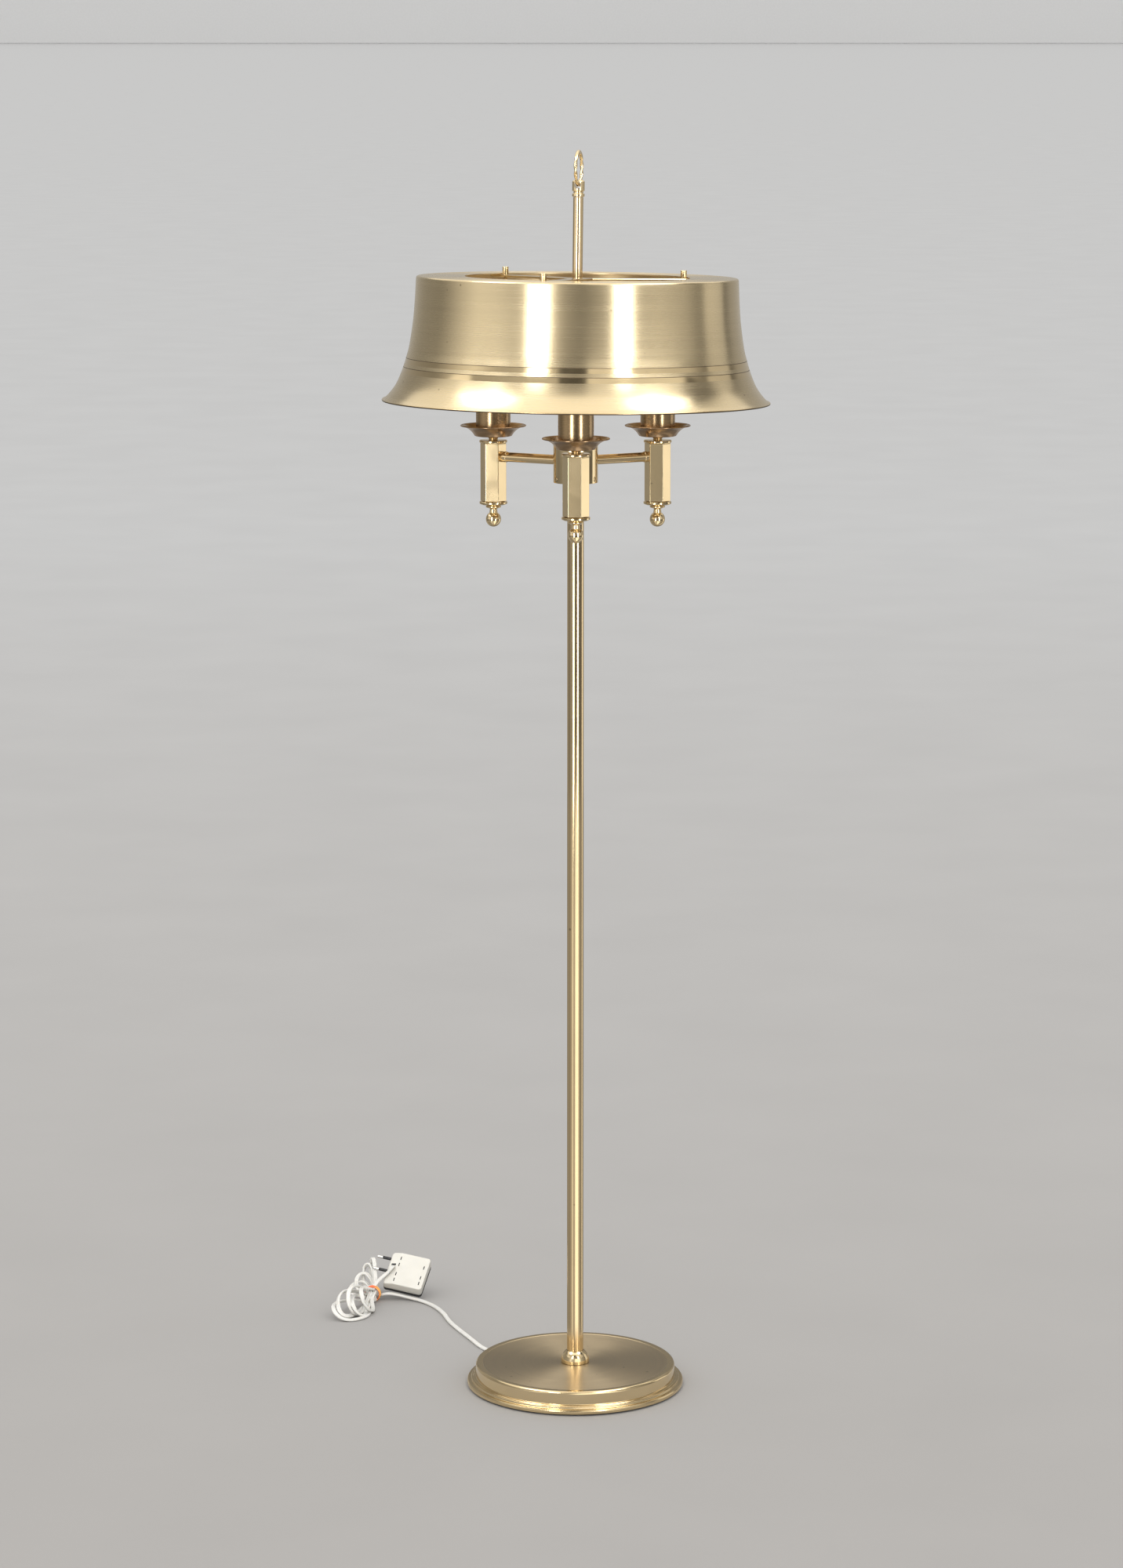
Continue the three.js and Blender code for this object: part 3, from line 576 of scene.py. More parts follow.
# Pushes apart the stretches of a line that lie closer than the gap, evens out its bends and keeps it off the
# floor. Each point moves by its share of freedom, and one with none stays.
def relaxed(line, freedom, gap, floor, rounds=110):
    line = line.copy()
    count = len(line)
    index = np.arange(count)
    apart = np.abs(index[:, None] - index[None]) > 5
    for _ in range(rounds):
        offset = line[:, None] - line[None]
        distance = np.linalg.norm(offset, axis=-1) + 1e-9
        push = np.where(apart & (distance < gap), (gap - distance) / distance * 0.25, 0.0)
        move = (push[..., None] * offset).sum(axis=1)
        bend = np.zeros_like(line)
        bend[1:-1] = (line[:-2] + line[2:]) / 2 - line[1:-1]
        stiff = bend.copy()
        stiff[1:-1] -= (bend[:-2] + bend[2:]) / 2
        move = move * np.array((0.7, 0.7, 1.0)) + bend * 0.02 + stiff * 0.22
        line += np.clip(move, -0.8 * mm, 0.8 * mm) * freedom[:, None]
        line[:, 2] = np.maximum(line[:, 2], floor)
    return line


# Where the plug box lies: its own axes in the lamp's frame and the middle of its cover.
def plugFrame(plan):
    back, roll = math.radians(-plan["tiltBack"]), math.radians(plan["rollRight"])
    turnX = np.array(((1, 0, 0), (0, math.cos(back), -math.sin(back)), (0, math.sin(back), math.cos(back))))
    turnY = np.array(((math.cos(roll), 0, math.sin(roll)), (0, 1, 0), (-math.sin(roll), 0, math.cos(roll))))
    matrix = turnX @ turnY
    middle = centreOf("plug_cover")
    return lambda points: np.asarray(points, float) @ matrix.T + middle


plugPlan = {"tiltBack": 50, "rollRight": 15, "width": 52, "height": 50, "thickness": 13}
inPlug = plugFrame(plugPlan)


# A flat section with two round cores, carried along the relaxed course and turned by its twist.
def makeCord(plan):
    points, twists, tie, forward = cordCourse(plan)
    inside, mouth = inPlug(np.array(plan["plugHole"]) * mm) / mm
    # the tail leaves above the tied strands and rises to the mouth of the plug box
    last = tie + up * 2 * plan["passSize"][1]
    tail = np.array((last - forward * plan["neckHalf"], last + (1, 2, 1.5), last + (7, 9, 9),
                     mouth - (5, 2, 6), mouth, inside))
    points.append(tail)
    twists.append(np.zeros(len(tail)))
    controls, turns = np.vstack(points) * mm, np.concatenate(twists)
    line = evenly(controls, plan["step"] * mm)
    nearest = np.linalg.norm(line[:, None] - controls[None], axis=-1).argmin(axis=1)
    order = np.maximum.accumulate(nearest)
    first = [np.flatnonzero(order >= k)[0] if (order >= k).any() else len(line) - 1
             for k in range(len(controls))]
    twist = np.interp(np.arange(len(line)), first, turns)
    half = plan["thickness"] / 2 * mm
    runEnd = first[len(plan["route"]) - 3]
    free = np.ones(len(line))
    free[:runEnd] = 0.0
    fromTie = np.linalg.norm(line - np.array(plan["tie"]) * mm, axis=1)
    free[fromTie < plan["heldWithin"] * mm] = plan["heldFreedom"]
    free[-6:] = 0.0
    lowest = half + np.abs(np.sin(twist)) * (plan["width"] - plan["thickness"]) / 2 * mm + 0.05 * mm
    line = relaxed(line, free, plan["gap"] * mm, lowest)
    along = unit(np.gradient(line, axis=0))
    wide = unit(np.cross(along, up))
    wide[0] = wide[1]
    for i in range(1, len(wide)):
        if wide[i] @ wide[i - 1] < 0:
            wide[i] = -wide[i]
    thin = np.cross(wide, along)
    c, s = np.cos(twist)[:, None], np.sin(twist)[:, None]
    wide, thin = wide * c + thin * s, thin * c - wide * s
    a = np.linspace(0, 2 * math.pi, 28, endpoint=False)
    # two round cores side by side, with a shallow crease between them
    x = (plan["width"] - plan["thickness"]) / 2 * np.sign(np.cos(a)) * np.minimum(1, np.abs(np.cos(a)) * 2.6)
    x = x + plan["thickness"] / 2 * np.cos(a)
    crease = 1 - (1 - plan["crease"]) * np.exp(-(x / 0.75) ** 2)
    z = plan["thickness"] / 2 * np.sign(np.sin(a)) * np.abs(np.sin(a)) ** 0.75 * crease
    grid = line[:, None] + (x * mm)[None, :, None] * wide[:, None] + (z * mm)[None, :, None] * thin[:, None]
    length = np.linalg.norm(np.diff(line, axis=0), axis=1).sum()
    piece = surface("supply_cord", grid, [finishes["whiteCord"]], "lamp_frame",
                    ("cord_run", "cord_hank"), ends=line[[0, -1]])
    return piece, line, float(length)


supplyCord, cordLine, cordLength = makeCord(cordPlan)
print("cord", round(cordLength, 3), "m")


bandPlan = {"radius": 9.6, "wire": 0.85, "wraps": 4, "pitch": 1.15, "wander": 0.5}


# A rubber band wound round the neck of the hank: a closed line that winds and then crosses back.
def makeBand(plan):
    tie = np.array(cordPlan["tie"]) * mm
    neck = unit(np.array((*(np.array(cordPlan["neckTo"]) - cordPlan["neckFrom"]), 0.0)))
    across = np.cross(up, neck)
    t = np.linspace(0, 2 * math.pi, 360, endpoint=False)
    a = plan["wraps"] * t
    radius = (plan["radius"] + 0.5 * np.sin(3 * t + 1)) * mm
    shift = (plan["pitch"] * plan["wraps"] / 2 * np.sin(t) + plan["wander"] * np.sin(5 * t)) * mm
    line = (tie + (radius * np.cos(a))[:, None] * across + (radius * np.sin(a))[:, None] * up
            + shift[:, None] * neck)
    along = unit(np.roll(line, -1, axis=0) - np.roll(line, 1, axis=0))
    out = unit(line - tie - ((line - tie) @ neck)[:, None] * neck)
    side = np.cross(out, along)
    b = np.linspace(0, 2 * math.pi, 12, endpoint=False)
    wire = plan["wire"] * mm
    wide = (np.cos(b) * wire * 1.3)[:, None] * side[:, None]
    thin = (np.sin(b) * wire * 0.8)[:, None] * out[:, None]
    ring = wide + thin
    # columns run along the band, so that u follows it and the colours change from wrap to wrap
    grid = (line[:, None] + ring).transpose(1, 0, 2)
    return surface("rubber_wraps", grid, [finishes["rubber"]], "lamp_frame", "rubber_band",
                   loop=True)


rubberWraps = makeBand(bandPlan)

coverPlan = {"corner": 4.0, "edge": 1.3, "bevel": 13.0, "bevelDrop": 4.5}


# A rounded rectangle with evenly spread points along its sides, so that copies of it can be bent.
def boxOutline(width, height, corner, count=12):
    x, z = width / 2 - corner, height / 2 - corner
    t = np.linspace(0, 1, count, endpoint=False)
    parts = []
    for k, (cx, cz) in enumerate(((x, z), (-x, z), (-x, -z), (x, -z))):
        a = (k + t) * math.pi / 2
        parts.append(np.stack((cx + corner * np.cos(a), cz + corner * np.sin(a)), axis=1))
        nx, nz = ((-x, z), (-x, -z), (x, -z), (x, z))[k]
        a = (k + 1) * math.pi / 2
        begin = np.array((cx + corner * math.cos(a), cz + corner * math.sin(a)))
        finish = np.array((nx + corner * math.cos(a), nz + corner * math.sin(a)))
        s = np.linspace(0, 1, 4 * count, endpoint=False)[:, None]
        parts.append(begin + (finish - begin) * s)
    return np.vstack(parts)


# The cover is a stack of rounded rectangles, up its side, over its edge and then inwards to its middle,
# with a sloping strip down its left side.
def makePlugBox(plan, cover):
    half = plan["thickness"] / 2
    e = cover["edge"]
    a = np.linspace(0, math.pi / 2, 7)
    levels = [(1.2, -half), (0.1, -half), (0.0, -half + 0.2), (0.0, -half + 3.5),
              *zip(e * (1 - np.cos(a)), half - e + e * np.sin(a))]
    levels += [(inset, half) for inset in np.arange(e + 0.4, plan["height"] / 2 - 0.4, 0.7)]

    def slope(points):
        x, y, h = points[..., 0] / mm, points[..., 1] / mm, points[..., 2] / mm
        left = -plan["width"] / 2
        fall = np.clip((left + cover["bevel"] - x) / cover["bevel"], 0, 1) * cover["bevelDrop"]
        front = np.clip((h + half) / (2 * half), 0, 1)
        return inPlug(np.stack((x, -(h - fall * front), y), axis=-1) * mm)

    grid = slope(np.array([np.column_stack((boxOutline(plan["width"] - 2 * inset, plan["height"] - 2 * inset,
                                                       max(cover["corner"] - inset, 0.05)) * mm,
                                            np.full(240, h * mm))) for inset, h in levels]))
    ends = slope(np.array(((0, 0, -half), (0, 0, half))) * mm)
    pieces = [surface("plug_cover_shell", grid, [finishes["whitePlastic"]], "lamp_frame",
                      "plug_cover", ends=ends)]
    place = lambda points: inPlug(np.stack((points[..., 0], -points[..., 2], points[..., 1]), axis=-1))
    # black pieces just proud of the cover paint the shade inside the vent slots
    slot = {"length": 5.4, "width": 1.25, "proud": 0.06}
    columns = ((-12.5, (16, 6, -9, -18)), (20.5, (9, -7, -16)))
    for x, heights in columns:
        for z in heights:
            size = (slot["width"] / 2, slot["length"] / 2)
            shape = rounded(np.array(((-1, -1), (1, -1), (1, 1), (-1, 1))) * size,
                            0.6, steps=3, ease=0.05) + (x, z)
            face = np.array(((0.25, half - 0.6), (0.0, half + slot["proud"]),
                             (0.2, half + slot["proud"]))) * mm
            pieces.append(prism(f"vent_slot_shadow_{len(pieces)}", shape * mm, face, place,
                                [finishes["blackPlastic"]], "lamp_frame"))
    # a black piece paints the shade inside the mouth where the cord goes in
    mouth = np.array(((-23.4, 7.5), (-16.4, 7.5), (-17.6, 1.0), (-21.6, 1.0)))
    face = np.array(((0.2, half - 3.5), (0.0, half - 2.2), (0.3, half - 2.1))) * mm
    hole = rounded(mouth, 1.2, steps=4, ease=0.05) * mm

    def mouthPlace(points):
        x = points[..., 0] / mm
        fall = np.clip((-plan["width"] / 2 + cover["bevel"] - x) / cover["bevel"], 0, 1) * cover["bevelDrop"]
        return inPlug(np.stack((points[..., 0], -(points[..., 2] + (2.2 - fall) * mm), points[..., 1]),
                               axis=-1))

    pieces.append(prism("cord_mouth_shadow", hole, face, mouthPlace, [finishes["blackPlastic"]], "lamp_frame"))
    under = boxOutline(plan["width"], plan["height"], cover["corner"]) * mm
    depth = np.array(((1.6, -half - 5.3), (0.5, -half - 5.3), (0.0, -half - 4.8), (0.0, -half - 0.8),
                      (0.4, -half - 0.3), (1.6, -half - 0.3))) * mm
    pieces.append(prism("plug_back_plate", under, depth, place, [finishes["blackPlastic"]], "lamp_frame",
                        "plug_base"))
    for number, side in ((1, -1), (2, 1)):
        axis = inPlug((-1, 0, 0)) - inPlug((0, 0, 0))
        origin = inPlug(np.array((-plan["width"] / 2 - 0.3, 0, 6 + side * 9.5)) * mm)
        section = filleted(np.array(((0, 0, 0), (2, 0, 0), (2, 11, 0.15), (1.85, 11.3, 0.1), (1.85, 19, 1.2),
                                     (0, 19, 0))) * mm, steps=6)
        zone = lambda r, s, k: 0 if s > 11.2 * mm else 1
        pieces.append(spin(f"pin_{number}", section, [finishes["pinMetal"], finishes["blackPlastic"]],
                           "lamp_frame", origin, axis, 32, f"plug_pin_{number}", zone))
    return pieces


plugPieces = makePlugBox(plugPlan, coverPlan)
print("cord and plug box ready")


basePlan = {"cover": ((5.4, 26.5, 0), (112.4, 26.5, 0.3), (113.7, 27, 0.5), (122, 27, 3.2), (122, 11.0, 0.5),
                      (124.2, 10.5, 0.4), (124.9, 9.9, 0.2), (127.2, 9.9, 1.1), (127.5, 7.4, 0.9),
                      (131.4, 7.0, 0.6), (132.5, 5.4, 0.8), (132.5, 2.3, 0)),
            "wall": 1.2, "brushedTo": 113.4, "segments": 256}


# A felt disc under a turned cover with a brushed top, a polished step and a rolled flange.
def makeBase(plan):
    low, high, _, outer = measure("base_felt")
    spin("felt_pad", filleted(((0, low, 0), (outer, low, 0.4 * mm), (outer, high, 0.4 * mm), (0, high, 0))),
         [finishes["felt"]], "lamp_frame", segments=128, replaces="base_felt")
    line = filleted([tuple(np.array(corner) * mm) for corner in plan["cover"]], steps=7)
    zone = lambda r, s, k: 0 if r < plan["brushedTo"] * mm and s > 24 * mm else (1 if r > 123 * mm else 2)
    spin("base_shell", thickened(line, plan["wall"] * mm),
         [finishes["baseBrass"], finishes["rimBrass"], finishes["mirrorBrass"]], "lamp_frame",
         segments=plan["segments"], replaces="base_cover", zone=zone)


# The tube, and the dome over its foot: r = R cos(a), with the height rising as sin(a).
def makePost():
    low, high, inner, outer = measure("post")
    tube = filleted(((inner, low, 0), (outer, low, 0.2 * mm), (outer, high, 0.3 * mm), (inner, high, 0)))
    spin("post_tube", tube, [finishes["postBrass"]], "lamp_frame", segments=96,
         replaces="post")
    low, high, inner, outer = measure("foot_collar")
    skirt = 2 * mm
    a = np.linspace(0, math.acos((inner + 0.35 * mm) / outer), 24)
    dome = np.stack((outer * np.cos(a), low + skirt + (high - low - skirt) * np.sin(a) / math.sin(a[-1])),
                    axis=1)
    section = np.vstack(((inner, low), (outer - 0.3 * mm, low), (outer, low + 0.3 * mm),
                         (outer, low + skirt * 0.7), dome, (inner, high)))
    spin("foot_dome", section, [finishes["mirrorBrass"]], "lamp_frame", segments=96,
         replaces="foot_collar")


makeBase(basePlan)
makePost()
print("base and post ready")


hubPlan = {"edge": 1.3, "wall": 1.2, "screwRing": 3.0, "screwHead": 2.45, "slotWidth": 0.8, "slotDepth": 0.7}


# The direction about +Z from the post to a CAD node's middle.
def azimuthOf(nodeName):
    middle = centreOf(nodeName)
    return math.atan2(middle[1], middle[0])


# A drawn cup, the seat of the rod, and three slotted screws, each head made of two half moons and set in a
# dark ring of painted shade.
def makeHub(plan):
    low, high, _, outer = measure("hub_shell")
    shellRadius = outer
    wall = plan["wall"] * mm
    line = filleted(((6.5 * mm, high, 0), (outer, high, plan["edge"] * mm), (outer, low, 0.4 * mm),
                     (outer - wall, low, 0.4 * mm), (outer - wall, high - wall, 0.8 * mm),
                     (6.5 * mm, high - wall, 0)),
                    steps=7)
    spin("hub_cup", line, [finishes["mirrorBrass"]], "lamp_frame", segments=144,
         replaces="hub_shell")
    low, high, inner, outer = measure("rod_socket")
    spin("rod_seat", filleted(((inner, low, 0), (outer, low, 0.3 * mm), (outer, low + 3.6 * mm, 0.8 * mm),
                               (9.4 * mm, low + 6.6 * mm, 1.2 * mm), (9.4 * mm, high - 0.6 * mm, 0.6 * mm),
                               (8.4 * mm, high, 0.4 * mm), (inner, high, 0))),
         [finishes["mirrorBrass"]], "lamp_frame", segments=96, replaces="rod_socket")
    for number in (1, 2, 3):
        azimuth = azimuthOf(f"hub_screw_{number}")
        height = centreOf(f"hub_screw_{number}")[2]
        outward = np.array((math.cos(azimuth), math.sin(azimuth), 0))
        origin = outward * (shellRadius - 1.4 * mm) + up * height
        # a dark disc of painted shade, standing for the gap round the screw in its hole
        spin(f"screw_hole_shadow_{number}", filleted(np.array(((0, 0, 0), (plan["screwRing"], 0, 0),
                                                        (plan["screwRing"], 1.45, 0.1), (0, 1.38, 0))) * mm),
             [finishes["darkSeat"]], "lamp_frame", origin, outward, 40)
        head, gap = plan["screwHead"], plan["slotWidth"] / 2
        tilt = 0.5 + 1.1 * number
        for side in (-1, 1):
            a = np.linspace(math.asin(gap / head), math.pi - math.asin(gap / head), 20)
            moon = np.stack((head * np.cos(a), side * head * np.sin(a)), axis=1)
            moon = np.vstack((moon, (0, side * gap)))
            turn = np.array(((math.cos(tilt), -math.sin(tilt)), (math.sin(tilt), math.cos(tilt))))
            levels = np.array(((0, 0.4), (0, 1.5), (0.08, 1.72), (0.3, 1.85), (0.8, 1.95))) * mm
            place = radialPlace(azimuth, origin)
            prism(f"screw_head_{number}_{'left' if side < 0 else 'right'}", moon @ turn.T * mm, levels, place,
                  [finishes["mirrorBrass"]], "lamp_frame",
                  (f"hub_screw_{number}",) if side < 0 else ())


# A place function whose height points away from the post at an azimuth and whose y is up.
def radialPlace(azimuth, origin):
    outward = np.array((math.cos(azimuth), math.sin(azimuth), 0))
    aside = np.array((-math.sin(azimuth), math.cos(azimuth), 0))
    matrix = np.stack((aside, up, outward))
    return lambda points: np.asarray(points) @ matrix + origin


candlePlan = {"edge": 0.9, "chamfer": 0.5, "twist": -7, "ferrule": 0.75, "trayRoll": 0.75, "trayFlare": 27.5}


# A tube with a ferrule near its end, a six-sided cup turned a little, and the candle on it.
def makeArm(number, plan):
    cup = centreOf(f"cup_{number}")
    azimuth = math.atan2(cup[1], cup[0])
    outward = np.array((math.cos(azimuth), math.sin(azimuth), 0))
    height = centreOf(f"arm_{number}")[2]
    low, high, _, outer = measure(f"arm_{number}", up * height, outward)
    radius = outer - 0.7 * mm
    ferruleFrom, ferruleTo = high - 9 * mm, high - 4.4 * mm
    section = filleted(((0, low, 0), (radius, low, 0.3 * mm), (radius, ferruleFrom, 0.3 * mm),
                        (outer, ferruleFrom + 0.5 * mm, 0.5 * mm), (outer, ferruleTo, 0.4 * mm),
                        (radius, ferruleTo + 0.2 * mm, 0.1 * mm), (radius, high, 0.2 * mm), (0, high, 0)))
    spin(f"arm_tube_{number}", section, [finishes["postBrass"]], "lamp_frame", up * height,
         outward, 80, f"arm_{number}")
    middle = measuredAxis(f"ball_finial_{number}")
    low, high, _, corner = measure(f"cup_{number}", middle)
    spot = azimuth + math.radians(30 + plan["twist"])
    corners = [(corner * math.cos(spot + k * math.pi / 3), corner * math.sin(spot + k * math.pi / 3))
               for k in range(6)]
    outline = rounded(corners, plan["edge"] * mm, steps=6)
    c = plan["chamfer"] * mm
    levels = ((6 * mm, low), (c * 1.5, low), (c * 0.3, low + c * 0.3), (0, low + c * 1.2), (0, low + 3 * c),
              (0, high - 3 * c), (0, high - c * 1.2), (c * 0.3, high - c * 0.3), (c * 1.5, high),
              (6 * mm, high))
    prism(f"hex_cup_{number}", outline, levels, turnedTo(0, middle), [finishes["mirrorBrass"]], "lamp_frame",
          f"cup_{number}")
    makeCandle(number, middle, plan)


# The foot of the upright line through a CAD node's middle.
def measuredAxis(nodeName):
    middle = centreOf(nodeName)
    return np.array((middle[0], middle[1], 0.0))


# What stacks on a cup, each turned about its axis: saucer, ball below, tray, sleeve, socket and bulb.
def makeCandle(number, middle, plan):
    mirror, candle = finishes["mirrorBrass"], finishes["satinCopper"]
    low, high, inner, outer = measure(f"cup_flange_{number}", middle)
    section = filleted(((inner, low, 0), (outer - 0.5 * mm, low, 0.3 * mm), (outer, low + 0.7 * mm, 0.5 * mm),
                        (outer, low + 2.5 * mm, 0.6 * mm), (outer - 1 * mm, low + 3.3 * mm, 0.5 * mm),
                        (5.6 * mm, low + 3.5 * mm, 0.8 * mm), (5.0 * mm, low + 4.8 * mm, 0.9 * mm),
                        (8.2 * mm, high, 0.2 * mm), (inner, high, 0)))
    spin(f"saucer_{number}", section, [mirror], "lamp_frame", middle, up, 96,
         f"cup_flange_{number}")
    low, high, _, outer = measure(f"ball_finial_{number}", middle)
    radius = 9.2 * mm
    centre = low + radius
    a = np.radians(np.linspace(58, -90, 40))
    globe = np.stack((radius * np.cos(a), centre + radius * np.sin(a)), axis=1)
    globe[-1, 0] = 0
    neck = filleted(((0, high, 0), (outer - 0.5 * mm, high, 0.3 * mm), (outer, high - 0.7 * mm, 0.5 * mm),
                     (outer, high - 2.7 * mm, 0.7 * mm), (outer - 1.8 * mm, high - 3.8 * mm, 0.6 * mm),
                     (6.2 * mm, high - 4.2 * mm, 0.7 * mm), (9.2 * mm, high - 5.6 * mm, 0.9 * mm),
                     (9.2 * mm, high - 7.2 * mm, 0.9 * mm), (4.4 * mm, high - 9.2 * mm, 0.6 * mm),
                     (globe[0, 0], globe[0, 1], 0)))
    spin(f"ball_{number}", np.vstack((neck, globe[1:])), [mirror], "lamp_frame", middle, up,
         96, f"ball_finial_{number}")
    low, high, inner, outer = measure(f"tray_{number}", middle)
    t = np.linspace(0, 1, 16)[:, None]
    flare = ((1 - t) ** 2 * (22.5 * mm, low + 0.7 * mm)
             + 2 * t * (1 - t) * (plan["trayFlare"] * mm, high - 3.6 * mm)
             + t ** 2 * (outer - 0.8 * mm, high - 0.9 * mm))
    roll = plan["trayRoll"] * mm
    a = np.linspace(-math.pi / 2, math.pi * 0.9, 12)
    lip = np.stack((outer - roll + roll * np.cos(a), high - roll + roll * np.sin(a)), axis=1)
    floor = np.array(((inner, low), (12 * mm, low), (19.5 * mm, low), (21.0 * mm, low + 0.15 * mm)))
    under = np.vstack((floor, flare[:-1]))
    above = under[::-1] + (0, 1.2 * mm)
    above[:, 0] -= 0.4 * mm * (above[:, 1] > low + 1.6 * mm)
    above[-1, 0] = inner
    spin(f"drip_tray_{number}", np.vstack((under, lip, above)), [finishes["trayCopperShaded"]], "lamp_frame",
         middle, up, 128, f"tray_{number}")
    low, high, inner, outer = measure(f"candle_sleeve_{number}", middle)
    tube = filleted(((outer, low, 0.2 * mm), (outer, high, 0.5 * mm), (inner, high, 0.5 * mm),
                     (inner, low, 0)))
    spin(f"candle_tube_{number}", tube, [candle], "lamp_frame", middle, up, 96,
         f"candle_sleeve_{number}")
    low, high, inner, outer = measure(f"lampholder_{number}", middle)
    bore = 14 * mm
    ribs = [point for k in range(5) for point in ((outer - 0.6 * mm, high - (44 - 9 * k) * mm, 0.5 * mm),
                                                 (outer, high - (43 - 9 * k) * mm, 0.5 * mm),
                                                 (outer, high - (38 - 9 * k) * mm, 0.5 * mm),
                                                 (outer - 0.6 * mm, high - (37 - 9 * k) * mm, 0.5 * mm))]
    spin(f"lamp_socket_{number}", filleted(((inner, low, 0), (4.9 * mm, low, 0.2 * mm),
                                            (4.9 * mm, high - 58 * mm, 0.6 * mm),
                                            (outer - 3 * mm, high - 54 * mm, 1 * mm),
                                            (outer - 0.6 * mm, high - 50 * mm, 1 * mm), *ribs[:-1],
                                            (outer - 0.6 * mm, high, 0.6 * mm), (bore, high, 0.8 * mm),
                                            (bore, high - 30 * mm, 0.5 * mm), (inner, high - 30 * mm, 0)),
                                            steps=3),
         [finishes["porcelain"]], "lamp_frame", middle, up, 64, f"lampholder_{number}")
    low, high, _, outer = measure(f"bulb_{number}", middle)
    centre = high - outer
    a = np.radians(np.linspace(-46, 90, 40))
    globe = np.stack((outer * np.cos(a), centre + outer * np.sin(a)), axis=1)
    globe[-1, 0] = 0
    thread = low + 5 * mm
    s = np.linspace(thread, thread + 19 * mm, 58)
    screw = np.stack((12.9 * mm + 0.5 * mm * np.sin((s - thread) / (3.6 * mm) * 2 * math.pi), s), axis=1)
    section = np.vstack(((0, low), (4.5 * mm, low), (6 * mm, low + 0.8 * mm), (7 * mm, low + 2.2 * mm),
                         (12.4 * mm, low + 4.6 * mm), screw, (13.4 * mm, s[-1] + 1 * mm),
                         (13.9 * mm, s[-1] + 2.2 * mm), globe))
    top = s[-1] + 1.2 * mm
    spin(f"lamp_bulb_{number}", section, [finishes["opalGlass"], finishes["steel"]], "lamp_frame",
         middle, up, 96, f"bulb_{number}", lambda r, z, k: 1 if z < top else 0)


makeHub(hubPlan)
for armNumber in (1, 2, 3):
    makeArm(armNumber, candlePlan)
print("hub, arms and candles ready")


lean = unit(joints["shade_slide"]["axis"])
seat = np.array(joints["shade_turn"]["pos_m"], float)
ringPlan = {"wire": 2.25, "lobe": 0.34, "twists": 5.5, "plain": 0.24, "turn": 11}


# The leaning rod and its finial, a grooved block that is drilled for the ring.
def makeRod():
    low, high, _, outer = measure("rod", seat, lean)
    spin("rod_bar", filleted(((0, low, 0), (outer, low, 0.3 * mm), (outer, high, 0.3 * mm), (0, high, 0))),
         [finishes["postBrass"]], "lamp_frame", seat, lean, 80, "rod")
    low, high, _, outer = measure("rod_finial", seat, lean)
    outline = ((0, low, 0), (outer - 0.4 * mm, low, 0.2 * mm), (outer, low + 0.6 * mm, 0.4 * mm),
               (outer, low + 3.4 * mm, 0.5 * mm), (outer - 1.5 * mm, low + 4.2 * mm, 0.4 * mm),
               (outer - 1.5 * mm, low + 6 * mm, 0.4 * mm), (outer, low + 7 * mm, 0.5 * mm),
               (outer, high - 1.8 * mm, 0.8 * mm), (outer - 1.8 * mm, high, 0.7 * mm), (0, high, 0))
    block = spin("finial_block", filleted(outline), [finishes["mirrorBrass"]], "lamp_frame",
                 seat, lean, 96, "rod_finial")
    drill(block)


# Cuts the ring's hole through the finial along the ring's own hinge, and keeps its rims sharp.
def drill(block):
    hinge = joints["ring_swing"]
    along = unit(hinge["axis"])
    ringAxis = np.array(hinge["pos_m"], float)
    section = np.array(((0, -14), (4.1, -14), (4.1, 14), (0, 14))) * mm
    tool = spin("drill", section, [finishes["mirrorBrass"]], "lamp_frame", ringAxis, along,
                48)
    cutter = block.modifiers.new("hole", "BOOLEAN")
    cutter.object, cutter.operation, cutter.solver = tool, "DIFFERENCE", "EXACT"
    ready = block.evaluated_get(bpy.context.evaluated_depsgraph_get())
    mesh = bpy.data.meshes.new_from_object(ready)
    block.modifiers.clear()
    old = block.data
    block.data = mesh
    bpy.data.meshes.remove(old)
    mesh.set_sharp_from_angle(angle=math.radians(40))
    shape = tool.data
    bpy.data.objects.remove(tool)
    bpy.data.meshes.remove(shape)


# A ring of twisted wire: its section has two lobes that turn along it, and runs out plain at the top.
def makeRing(plan):
    hinge = joints["ring_swing"]
    along = unit(hinge["axis"])
    pivot = np.array(hinge["pos_m"], float)
    top = measure("ring_handle", seat, lean)[1]
    pivotHeight = (pivot - seat) @ lean
    wire = plan["wire"] * mm
    radius = (top - pivotHeight - wire - 0.05 * mm) / 2
    centre = pivot + lean * radius
    upward = unit(lean - (lean @ along) * along)
    normal = np.cross(along, upward)
    a = np.linspace(0, 2 * math.pi, 288, endpoint=False)
    out = np.cos(a)[:, None] * upward + np.sin(a)[:, None] * along
    b = np.linspace(0, 2 * math.pi, 24, endpoint=False)
    twisted = np.clip((1 - np.cos(a)) / 2 / plan["plain"] - 0.55, 0, 1)
    twisted = twisted ** 2 * (3 - 2 * twisted)
    turn = plan["twists"] * a
    size = wire * (1 - plan["lobe"] * twisted[:, None] * (0.5 - 0.5 * np.cos(2 * (b[None] - turn[:, None]))))
    side = np.cos(b)[None, :, None] * out[:, None] + np.sin(b)[None, :, None] * normal
    grid = centre + radius * out[:, None] + size[..., None] * side
    surface("ring", grid, [finishes["mirrorBrass"]], "ring_handle", "ring_handle",
            loop=True)


makeRod()
makeRing(ringPlan)
print("rod, finial and ring ready")


shadePlan = {
    "wall": ((190, 1346), (191.0, 1325), (193, 1300), (198, 1267), (200.9, 1256.5), (204.7, 1244),
             (213.2, 1224), (223.2, 1211), (227.6, 1207.1)),
    "stripes": ((1256.5, 1250.2), (1245.9, 1239.2)), "line": 0.6, "bead": 1.2,
    "shoulder": 2.6, "thickness": 1.2, "segments": 384,
}
